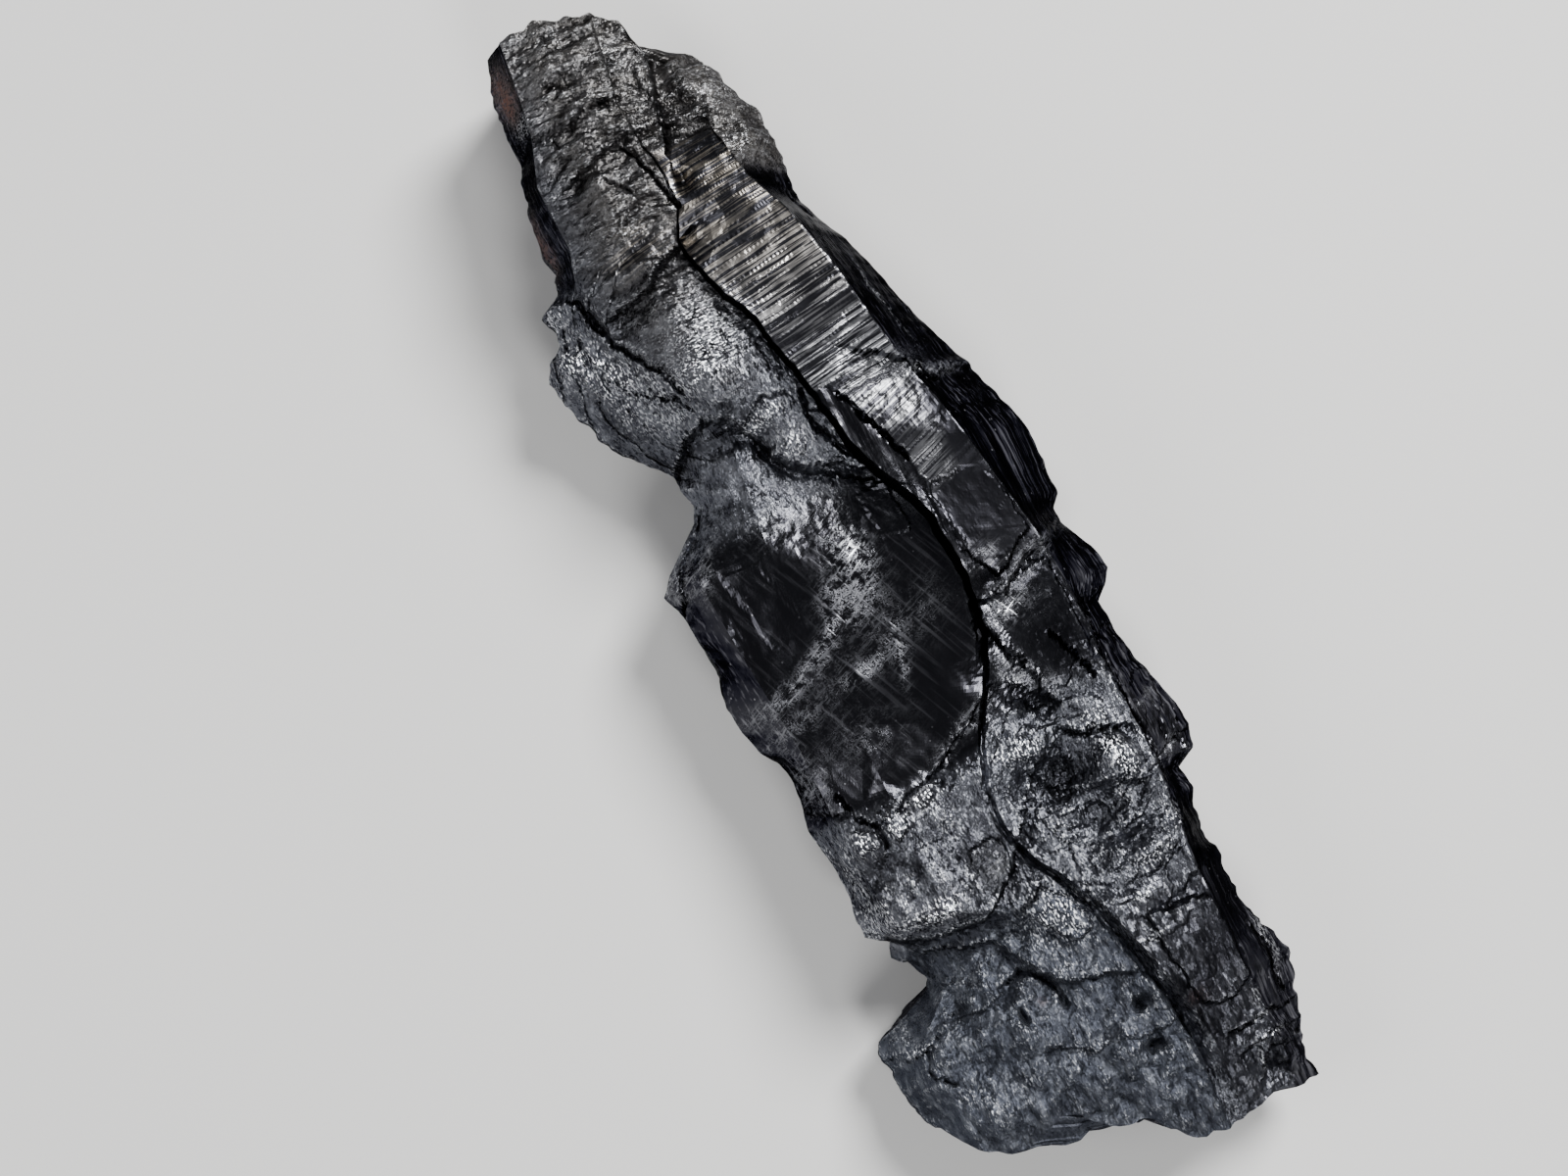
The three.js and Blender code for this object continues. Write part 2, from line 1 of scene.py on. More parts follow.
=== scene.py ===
"""A stibnite crystal that lies on its flat back face on a pale floor.

The crystal is one closed surface, worked out as whole arrays in millimetres. One direction of its grid goes
round the crystal and the other goes from its broad foot to its tip. The long edges are rails, and the plain
faces are stretched between them. Each kind of surface of the real crystal is then worked in as relief:
cleavage plates, ledges, cracks, lumps, cross striations, fibres, crenulations, terraces and broken grain.
"""
import logging
import math
from dataclasses import dataclass, field
from enum import Enum
from typing import Sequence

import bpy
import numpy as np
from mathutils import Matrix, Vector


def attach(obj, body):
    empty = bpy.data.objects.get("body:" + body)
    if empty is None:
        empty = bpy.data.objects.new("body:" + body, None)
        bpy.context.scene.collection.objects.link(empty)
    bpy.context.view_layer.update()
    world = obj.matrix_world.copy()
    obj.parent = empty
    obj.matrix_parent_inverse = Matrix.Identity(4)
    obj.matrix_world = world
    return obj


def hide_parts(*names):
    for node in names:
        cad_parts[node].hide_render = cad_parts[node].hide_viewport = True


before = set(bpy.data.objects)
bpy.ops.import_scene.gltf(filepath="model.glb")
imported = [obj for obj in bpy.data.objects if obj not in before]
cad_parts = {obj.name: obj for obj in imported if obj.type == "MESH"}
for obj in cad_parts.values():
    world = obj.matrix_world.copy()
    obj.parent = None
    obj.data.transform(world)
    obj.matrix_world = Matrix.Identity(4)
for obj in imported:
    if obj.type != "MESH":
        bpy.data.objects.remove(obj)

LOG = logging.getLogger("stibnite")

Array = np.ndarray
Knots = tuple[tuple[float, float], ...]
Span = tuple[tuple[float, float], tuple[float, float]]
Colour = tuple[float, float, float, float]
Socket = bpy.types.NodeSocket

MM = 0.001  # one millimetre in metres

PLATE_TURN = 0.42  # turn of the fine lines on the smooth plates from the crystal's length, in radians
LINE_SLOPE = 0.13  # how far a cross striation climbs towards the tip for each millimetre to the right
LOW_LINE_SLOPE = 0.35  # the same on the lower part of their face
LINES_TURN = (8.2, 7.8)  # along the crystal, where the one slope ends and where the other is reached
OFF_FRONT = -1  # stands for a strip's number on the walls and the back


class Mask(Enum):
    """The kinds of surface that the finish tells apart. Each one is a value from 0 to 1 at a point."""

    # The cleavage faces' dark is painted: a painted dark reflection of the surroundings that these mirror
    # faces reflect.
    CLEAVAGE = "cleavage"  # smooth, dark and mirror-like
    STRIATION = "striation"  # fine silvery lines across the crystal
    # Painted highlight: how brightly the striation lines are painted in silver; it also sets their bump
    # height.
    SHINE = "shine"  # how bright those lines are
    SLANT = "slant"  # where those lines run at a steeper slant
    FIBRE = "fibre"  # fine lines along the crystal
    PLATE = "plate"  # fine slanted lines on the smooth plates
    GRAIN = "grain"  # broken and sparkling
    FOOT = "foot"  # dull, bluish and granular
    WARM = "warm"  # faint brassy tint
    RUST = "rust"  # orange-brown stain
    SCUFF = "scuff"  # light scratches on dark faces
    # Painted highlight: where silver is painted into the colour of faces that catch the light.
    LIGHT = "light"  # faces that catch the light
    # Painted shade: where the colour is painted near black in cracks, hollows and faces that stay dark.
    SHADE = "shade"  # cracks, hollows and faces that stay dark


class Strip(Enum):
    """The strips of faces between neighbouring rails, left to right."""

    LEFT_SIDE = 0
    LEFT_SLOPE = 1
    LEFT_FACE = 2
    LEFT_LIP = 3
    RIGHT_LIP = 4
    STRIATED_FACE = 5
    RIGHT_SIDE = 6


class MixKind(Enum):
    """What a Mix node mixes: the number of its first such input and of its output."""

    FLOAT = (2, 0)
    VECTOR = (4, 1)
    RGBA = (6, 2)


def smooth_step(t: Array | float) -> Array:
    """Eases from 0 to 1: three t squared minus two t cubed, with t kept between 0 and 1.

    Args:
        t: Position, 0 where the step begins and 1 where it ends.

    Returns:
        The eased value.
    """
    c = np.clip(t, 0.0, 1.0)
    return c * c * (3.0 - 2.0 * c)


def mix(a: Array | float, b: Array | float, t: Array | float) -> Array:
    """Goes from a to b in proportion to t."""
    return a + (b - a) * t


def ramp(value: Array, low: float, high: float) -> Array:
    """Eases from 0 at low to 1 at high, whichever of the two is the larger."""
    return smooth_step((value - low) / (high - low))


def within(span: Span, y: Array) -> Array:
    """Eases from 0 to 1 over the span's first pair, and back to 0 over its second pair."""
    return ramp(y, *span[0]) * ramp(y, span[1][1], span[1][0])


def lattice_value(i: Array, j: Array, seed: int) -> Array:
    """A repeatable number from -1 to 1 for each corner of a square lattice.

    The fraction of a large multiple of a sine stands for a random number.

    Args:
        i: Lattice columns.
        j: Lattice rows.
        seed: Which set of numbers.

    Returns:
        One number for each corner.
    """
    s = np.sin(i * 127.1 + j * 311.7 + seed * 74.7) * 43758.5453
    return 2.0 * (s - np.floor(s)) - 1.0


def soft_noise(x: Array, y: Array, seed: int) -> Array:
    """Smooth noise from -1 to 1: lattice values blended over each square.

    Args:
        x: Places along the first axis, in squares.
        y: Places along the second axis, in squares.
        seed: Which noise.

    Returns:
        The noise at each place.
    """
    i, j = np.floor(x), np.floor(y)
    u, v = smooth_step(x - i), smooth_step(y - j)
    low = mix(lattice_value(i, j, seed), lattice_value(i + 1, j, seed), u)
    high = mix(lattice_value(i, j + 1, seed), lattice_value(i + 1, j + 1, seed), u)
    return mix(low, high, v)


def broken_facets(x: Array, y: Array, seed: int) -> Array:
    """Broken facets, about -0.5 to 0.5.

    Each lattice square holds one flat-sided pyramid with its own place, turn and height. The surface is the
    highest of the pyramids near a place.

    Args:
        x: Places along the first axis, in squares.
        y: Places along the second axis, in squares.
        seed: Which set of pyramids.

    Returns:
        The height at each place.
    """
    i0, j0 = np.floor(x), np.floor(y)
    top = np.full(np.broadcast(x, y).shape, -1.0)
    for step in range(9):
        i, j = i0 + step % 3 - 1, j0 + step // 3 - 1
        dx = x - i - 0.5 - 0.4 * lattice_value(i, j, seed)
        dy = y - j - 0.5 - 0.4 * lattice_value(i, j, seed + 1)
        turn = math.pi * lattice_value(i, j, seed + 2)
        along = np.abs(dx * np.cos(turn) + dy * np.sin(turn))
        across = np.abs(dy * np.cos(turn) - dx * np.sin(turn))
        peak = 0.5 + 0.35 * lattice_value(i, j, seed + 3)
        top = np.maximum(top, peak - np.maximum(1.1 * along, 0.8 * across))
    return top - 0.1


def jagged(t: Array, seed: int) -> Array:
    """Angular noise from about -1 to 1 along a line: straight stretches between random values.

    Stretches of three lengths, in millimetres, are added up, each with its own share.

    Args:
        t: Places along the line, in millimetres.
        seed: Which noise.

    Returns:
        The noise at each place.
    """
    noise = np.zeros(np.shape(t))
    for step, (length, share) in enumerate(((1.1, 0.45), (0.5, 0.35), (0.23, 0.3))):
        i = np.floor(t / length)
        low, high = lattice_value(i, 0 * i, seed + step), lattice_value(i + 1, 0 * i, seed + step)
        noise = noise + share * mix(low, high, t / length - i)
    return noise


def side_distance(path: Knots, x: Array, y: Array) -> Array:
    """Distance to a path of straight stretches, positive on the path's right-hand side.

    Args:
        path: Corners as (x, y).
        x: Places.
        y: Places.

    Returns:
        The signed distance to the nearest point of the path.
    """
    nearest = np.full(x.shape, np.inf)
    for (x0, y0), (x1, y1) in zip(path, path[1:]):
        dx, dy = x1 - x0, y1 - y0
        t = np.clip(((x - x0) * dx + (y - y0) * dy) / (dx * dx + dy * dy), 0.0, 1.0)
        distance = np.hypot(x - x0 - t * dx, y - y0 - t * dy)
        side = np.where((x - x0) * dy - (y - y0) * dx >= 0.0, 1.0, -1.0)
        nearest = np.where(distance < np.abs(nearest), side * distance, nearest)
    return nearest


def past_ends(path: Knots, x: Array, y: Array) -> Array:
    """How far a place lies past either end of a path, measured along its first or last stretch, else 0.

    Args:
        path: Corners as (x, y).
        x: Places.
        y: Places.

    Returns:
        The larger of the two distances, and never less than 0.
    """
    (x0, y0), (x1, y1) = path[:2]
    (x2, y2), (x3, y3) = path[-2:]
    before = ((x0 - x) * (x1 - x0) + (y0 - y) * (y1 - y0)) / math.hypot(x1 - x0, y1 - y0)
    after = ((x - x3) * (x3 - x2) + (y - y3) * (y3 - y2)) / math.hypot(x3 - x2, y3 - y2)
    return np.maximum(0.0, np.maximum(before, after))


def inside_distance(outline: Knots, x: Array, y: Array) -> Array:
    """How far a place is inside a clockwise outline that has no inward corner.

    Args:
        outline: Corners as (x, y), clockwise.
        x: Places.
        y: Places.

    Returns:
        The smallest distance to the line of any edge, negative outside.
    """
    nearest = np.full(x.shape, np.inf)
    for (x0, y0), (x1, y1) in zip(outline, outline[1:] + outline[:1]):
        across = ((x - x0) * (y1 - y0) - (y - y0) * (x1 - x0)) / math.hypot(x1 - x0, y1 - y0)
        nearest = np.minimum(nearest, across)
    return nearest


@dataclass(frozen=True)
class Bell:
    """A round bell over an ellipse: 1 in its middle, near 0 at one and a half half-lengths."""

    x: float
    y: float
    half_x: float
    half_y: float
    value: float
    turn_deg: float = 0.0

    def at(self, x: Array, y: Array) -> Array:
        """The bell's value: its peak times e to minus the squared distance in half-lengths.

        Args:
            x: Places.
            y: Places.

        Returns:
            The value at each place.
        """
        c, s = math.cos(math.radians(self.turn_deg)), math.sin(math.radians(self.turn_deg))
        along = ((x - self.x) * c + (y - self.y) * s) / self.half_x
        across = ((y - self.y) * c - (x - self.x) * s) / self.half_y
        return self.value * np.exp(-(along**2) - across**2)


@dataclass(frozen=True)
class Ledge:
    """A step in the face: it drops on the right-hand side of its path and climbs back over the fade."""

    drop: float
    fade: float
    path: Knots
    wall: float = 0.22  # over how far it drops
    reach: float = 9.0  # how far past the path's ends the step is felt

    def at(self, x: Array, y: Array) -> Array:
        """The height that the ledge takes away: an eased drop, an eased climb back and eased ends.

        Args:
            x: Places.
            y: Places.

        Returns:
            The height at each place.
        """
        d = side_distance(self.path, x, y)
        ends = 1.0 - smooth_step(past_ends(self.path, x, y) / self.reach)
        return self.drop * smooth_step(d / self.wall) * (1.0 - smooth_step(d / self.fade)) * ends


@dataclass(frozen=True)
class Crack:
    """A V groove along a path."""

    width: float
    depth: float
    path: Knots

    def share(self, x: Array, y: Array) -> Array:
        """The share of the groove's depth at each place: 1 on the path and 0 at its width."""
        return np.maximum(0.0, 1.0 - np.abs(side_distance(self.path, x, y)) / self.width)

    def at(self, x: Array, y: Array) -> Array:
        """The height that the groove takes away at each place."""
        return self.depth * self.share(x, y)


@dataclass(frozen=True)
class Plate:
    """A flat cleavage layer with a crisp edge."""

    rise: float
    tilt: tuple[float, float]
    outline: Knots
    edge: float = 0.16

    def inside(self, x: Array, y: Array) -> Array:
        """1 on the plate and 0 off it, eased over the step round its edge."""
        return smooth_step(inside_distance(self.outline, x, y) / self.edge)

    def at(self, x: Array, y: Array) -> Array:
        """The height that the plate adds: its rise and its slopes from its middle, where it is inside.

        Args:
            x: Places.
            y: Places.

        Returns:
            The height at each place.
        """
        middle = np.mean(np.array(self.outline), axis=0)
        sloped = self.rise + self.tilt[0] * (x - middle[0]) + self.tilt[1] * (y - middle[1])
        return self.inside(x, y) * sloped


@dataclass(frozen=True)
class Facets:
    """Broken facets of one height and size."""

    height: float
    size_x: float
    size_y: float
    seed: int

    def at(self, x: Array, y: Array) -> Array:
        """The facets' height at each place."""
        return self.height * broken_facets(x / self.size_x, y / self.size_y, self.seed)


Form = Bell | Ledge | Crack | Plate | Facets


def total(forms: Sequence[Form], x: Array, y: Array) -> Array:
    """The sum of the forms at each place."""
    return sum((form.at(x, y) for form in forms), np.zeros(x.shape))


@dataclass(frozen=True)
class Rail:
    """A long edge of the crystal from foot to tip."""

    path: Knots  # (y, x)
    height: Knots  # (y, z)
    steps: int  # grid steps from this rail to the next one

    def at(self, share: Array) -> Array:
        """The rail's points.

        Args:
            share: Places from 0 at the foot to 1 at the tip.

        Returns:
            One (x, y, z) for each place, on straight lines between the knots.
        """
        path, height = np.array(self.path), np.array(self.height)
        y = mix(path[0, 0], path[-1, 0], share)
        x = np.interp(y, path[:, 0], path[:, 1])
        z = np.interp(y, height[:, 0], height[:, 1])
        return np.stack([x, y, z], axis=-1)


# The outline seen from above, (y, x) from foot to tip.
LEFT_RIM: Knots = (
    (-20.4, -8.6), (-19.4, -9.1), (-18.2, -9.3), (-17.2, -9.4), (-16.6, -9.6), (-16.15, -9.3),
    (-15.6, -7.6), (-15.2, -6.5), (-14.6, -6.3), (-13.8, -6.7), (-13.3, -7.2), (-12.6, -7.1),
    (-12.0, -7.9), (-11.2, -8.0), (-10.3, -7.75), (-9.0, -7.85), (-7.0, -8.1), (-6.0, -7.9),
    (-5.0, -7.8), (-4.0, -8.0), (-3.3, -8.5), (-2.2, -8.8), (-1.2, -8.9), (-0.2, -8.7),
    (0.5, -8.5), (1.8, -8.8), (3.2, -8.9), (4.1, -9.3), (4.8, -8.7), (5.8, -7.5),
    (6.4, -6.8), (7.1, -6.5), (7.9, -6.7), (8.5, -6.7), (9.9, -7.8), (11.1, -8.6),
    (12.1, -9.0), (13.1, -9.6), (14.2, -9.65), (15.0, -9.2), (15.4, -8.6), (16.1, -8.5),
    (16.8, -8.8), (17.3, -7.7), (18.2, -7.4), (19.5, -7.6), (21.1, -7.3), (22.1, -7.1),
    (22.7, -6.7), (24.2, -6.8), (26.0, -6.6), (27.2, -6.1),
)
RIGHT_RIM: Knots = (
    (-25.15, 6.2), (-24.2, 6.1), (-23.5, 6.5), (-22.7, 6.85), (-22.0, 6.9), (-20.9, 7.4),
    (-20.0, 7.5), (-19.2, 7.4), (-18.1, 6.8), (-17.2, 6.65), (-16.0, 6.6), (-15.2, 6.65),
    (-14.0, 6.35), (-13.2, 6.6), (-12.3, 6.95), (-11.4, 6.85), (-10.9, 7.7), (-10.0, 7.95),
    (-8.8, 7.8), (-7.9, 7.6), (-6.6, 7.1), (-5.4, 6.95), (-3.8, 6.85), (-3.3, 7.4),
    (-2.7, 7.8), (-1.6, 7.6), (-0.2, 7.0), (0.5, 6.85), (1.0, 7.3), (1.5, 7.2),
    (2.5, 7.35), (3.8, 7.35), (5.2, 7.0), (7.2, 6.4), (9.0, 5.6), (10.8, 5.0),
    (11.9, 4.7), (13.0, 4.4), (14.2, 4.0), (15.2, 3.5), (16.4, 3.0), (17.6, 2.95),
    (19.2, 3.1), (20.5, 3.05), (21.3, 2.6), (22.8, 2.1), (23.4, 1.9),
)

# The crack down the front between the left-hand and the right-hand blade, (y, x).
SEAM: Knots = (
    (-25.2, 2.1), (-21.5, 2.2), (-18.7, 1.8), (-17.3, 1.5), (-15.0, 0.9), (-13.0, 0.05),
    (-12.2, -0.5), (-10.5, -1.1), (-8.5, -0.95), (-7.0, -0.4), (-5.0, 0.8), (-3.0, 1.7),
    (-0.6, 1.95), (1.6, 1.8), (3.0, 1.5), (4.0, 1.0), (5.0, 0.5), (6.2, 0.1),
    (7.8, -0.2), (9.2, -0.45), (10.6, -0.8), (12.4, -1.2), (13.6, -1.8), (15.2, -2.3),
    (16.3, -2.5), (17.6, -1.9), (18.9, -1.8), (21.0, -2.1), (22.6, -2.3), (26.6, -1.6),
)

# How far each lip of the seam is from its bottom, (y, gap).
LEFT_GAP: Knots = (
    (-25.2, 0.3), (-12.0, 0.2), (-8.0, 0.2), (-1.0, 0.14), (5.0, 0.12), (9.0, 0.09), (15.0, 0.07),
    (26.6, 0.06),
)
RIGHT_GAP: Knots = (
    (-25.2, 0.8), (-19.0, 0.6), (-14.0, 0.25), (-9.0, 0.15), (-3.0, 0.14), (5.0, 0.11), (9.0, 0.08),
    (26.6, 0.06),
)


def beside(path: Knots, gaps: Knots, side: float) -> Knots:
    """The path shifted along x by a gap that changes from knot to knot.

    Args:
        path: Knots as (y, x).
        gaps: Knots as (y, gap).
        side: 1 to the right and -1 to the left.

    Returns:
        The shifted path.
    """
    table = np.array(gaps)
    return tuple((y, x + side * float(np.interp(y, table[:, 0], table[:, 1]))) for y, x in path)


# The two broken end edges seen from above, (x, y) from left to right.
FOOT_EDGE: Knots = (
    (-8.6, -20.4), (-8.0, -21.2), (-7.2, -21.9), (-6.4, -22.4), (-5.6, -22.6), (-4.8, -22.3),
    (-4.0, -22.1), (-3.3, -22.3), (-2.8, -22.8), (-2.0, -23.3), (-1.2, -23.3), (-0.6, -23.7),
    (-0.1, -24.3), (0.6, -25.0), (2.0, -25.3), (3.4, -25.0), (5.0, -24.85), (5.2, -25.15),
    (6.2, -25.15),
)
TIP_EDGE: Knots = (
    (-6.1, 27.2), (-5.5, 27.0), (-4.9, 27.1), (-4.3, 27.0), (-3.8, 27.15), (-3.1, 26.75),
    (-2.5, 26.8), (-2.0, 26.6), (-1.6, 26.75), (-1.0, 26.0), (-0.65, 25.8), (-0.5, 25.0),
    (-0.2, 24.0), (0.3, 23.85), (1.2, 23.85), (1.6, 23.75), (1.9, 23.4),
)

# The long edges, left to right. They bound the strips, in the same order.
RAILS: tuple[Rail, ...] = (
    Rail(
        path=LEFT_RIM,
        height=(
            (-20.4, 2.6), (-16.0, 3.0), (-12.4, 3.3), (-11.6, 4.2), (-8.0, 4.4), (0.0, 4.2), (4.0, 4.6),
            (8.0, 4.4), (9.4, 3.4), (12.0, 3.2), (15.0, 4.2), (18.0, 5.0), (22.0, 5.4), (27.2, 5.6),
        ),
        steps=26,
    ),
    Rail(
        path=(
            (-21.6, -7.4), (-17.0, -7.9), (-15.0, -5.5), (-12.5, -6.6), (-8.0, -7.0), (-4.0, -7.0),
            (0.0, -7.4), (4.0, -7.7), (6.4, -5.7), (8.4, -5.6), (11.0, -7.0), (14.0, -7.5),
            (16.4, -7.1), (18.3, -6.5), (21.0, -6.6), (23.0, -5.9), (25.0, -5.6), (27.05, -5.4),
        ),
        height=(
            (-21.6, 4.2), (-17.0, 4.9), (-13.2, 5.0), (-12.0, 6.5), (-8.0, 6.9), (0.0, 6.5), (4.0, 6.4),
            (8.2, 5.7), (9.4, 5.2), (11.0, 5.2), (14.0, 6.0), (18.0, 7.2), (23.0, 8.2), (27.05, 7.6),
        ),
        steps=36,
    ),
    Rail(
        path=(
            (-22.2, -4.4), (-17.0, -4.4), (-12.4, -4.6), (-6.0, -4.6), (0.0, -4.6), (4.0, -4.6),
            (8.8, -4.0), (12.0, -3.8), (16.0, -4.4), (20.0, -4.4), (24.0, -4.0), (27.1, -3.8),
        ),
        height=(
            (-22.2, 4.6), (-17.0, 5.9), (-13.3, 6.1), (-12.3, 7.6), (-8.0, 7.9), (-4.0, 7.2), (4.0, 7.1),
            (8.6, 7.2), (10.0, 8.6), (12.0, 9.0), (16.0, 8.6), (20.0, 9.0), (24.0, 8.9), (27.1, 7.7),
        ),
        steps=52,
    ),
    Rail(
        path=beside(SEAM, LEFT_GAP, -1.0),
        height=(
            (-25.2, 4.8), (-20.0, 5.9), (-16.0, 6.4), (-12.0, 7.0), (-8.0, 7.5), (-4.0, 7.4), (0.0, 7.6),
            (4.0, 7.4), (8.0, 8.1), (12.0, 8.5), (16.0, 8.7), (20.0, 9.1), (24.0, 8.9), (26.7, 7.9),
        ),
        steps=4,
    ),
    Rail(
        path=SEAM,
        height=(
            (-25.2, 4.6), (-20.0, 5.5), (-16.0, 6.15), (-12.0, 6.8), (-9.0, 7.2), (-4.0, 7.3), (-2.4, 7.0),
            (-1.0, 6.5), (4.0, 6.6), (8.0, 7.2), (12.0, 7.7), (15.4, 8.0), (16.8, 8.6), (18.5, 8.85),
            (22.4, 8.9), (23.2, 9.0), (26.6, 7.9),
        ),
        steps=6,
    ),
    Rail(
        path=beside(SEAM, RIGHT_GAP, 1.0),
        height=(
            (-25.1, 4.9), (-20.0, 6.5), (-16.0, 7.1), (-12.0, 7.4), (-8.0, 7.4), (-4.0, 7.7), (-1.6, 7.9),
            (0.0, 8.7), (4.0, 9.0), (8.0, 9.3), (12.0, 9.6), (16.0, 9.4), (20.0, 9.1), (26.5, 7.9),
        ),
        steps=44,
    ),
    Rail(
        path=(
            (-25.0, 5.2), (-22.0, 5.4), (-19.0, 5.3), (-15.0, 5.3), (-12.0, 5.6), (-10.0, 5.8),
            (-5.0, 5.8), (-1.0, 5.5), (1.0, 5.1), (4.0, 4.5), (6.5, 4.0), (8.4, 3.4),
            (10.0, 3.1), (13.0, 2.6), (15.6, 2.0), (17.6, 1.2), (20.0, 0.8), (23.9, 0.7),
        ),
        height=(
            (-25.0, 4.6), (-20.0, 6.1), (-16.0, 6.6), (-12.0, 6.8), (-8.0, 6.8), (-4.0, 7.2), (-1.4, 7.6),
            (0.0, 8.2), (4.0, 9.0), (8.0, 9.6), (12.0, 9.9), (16.0, 9.4), (20.0, 8.3), (23.9, 7.2),
        ),
        steps=32,
    ),
    Rail(
        path=RIGHT_RIM,
        height=(
            (-25.15, 3.4), (-20.0, 3.4), (-15.0, 3.8), (-10.0, 3.6), (-5.0, 4.0), (0.0, 4.0),
            (5.0, 4.4), (10.0, 4.6), (15.0, 4.8), (20.0, 5.0), (23.4, 5.0),
        ),
        steps=0,
    ),
)

# The large ledges. Paths are (x, y).
LEDGES: tuple[Ledge, ...] = (
    Ledge(0.9, 4.2, (
        (-7.0, 8.5), (-5.7, 9.5), (-4.7, 9.7), (-3.6, 9.3), (-3.0, 8.3), (-2.7, 7.3), (-1.8, 6.2),
        (-0.9, 5.5),
    )),
    Ledge(1.6, 6.0, (
        (-8.4, -12.2), (-6.9, -12.3), (-6.0, -12.9), (-5.0, -13.2), (-3.4, -13.2), (-2.6, -12.9),
        (-1.6, -12.0), (-0.9, -11.2),
    )),
    Ledge(0.5, 3.8, (
        (1.9, -1.5), (3.0, -1.8), (3.6, -1.4), (4.4, -0.9), (5.6, -0.5), (7.4, 0.6),
    ), 0.3, 0.3),
    Ledge(0.8, 3.0, ((3.2, 8.4), (4.1, 7.7), (4.7, 7.3), (5.3, 7.6), (6.6, 7.4))),
    Ledge(0.6, 2.6, (
        (-4.4, -14.0), (-3.2, -14.2), (-2.7, -15.2), (-2.0, -16.3), (-1.2, -17.0), (-0.2, -17.3),
    )),
    Ledge(1.0, 2.2, ((5.9, -11.3), (5.6, -8.0), (5.7, -4.2))),
    Ledge(0.9, 2.6, ((-1.0, 21.1), (-0.7, 22.8), (-0.2, 24.2))),
    Ledge(0.7, 1.5, ((-5.6, 15.2), (-4.4, 15.4), (-3.6, 15.9), (-2.6, 16.3))),
    Ledge(0.5, 1.4, ((-5.0, 20.7), (-3.4, 21.1), (-2.4, 21.3), (-1.2, 21.2))),
)

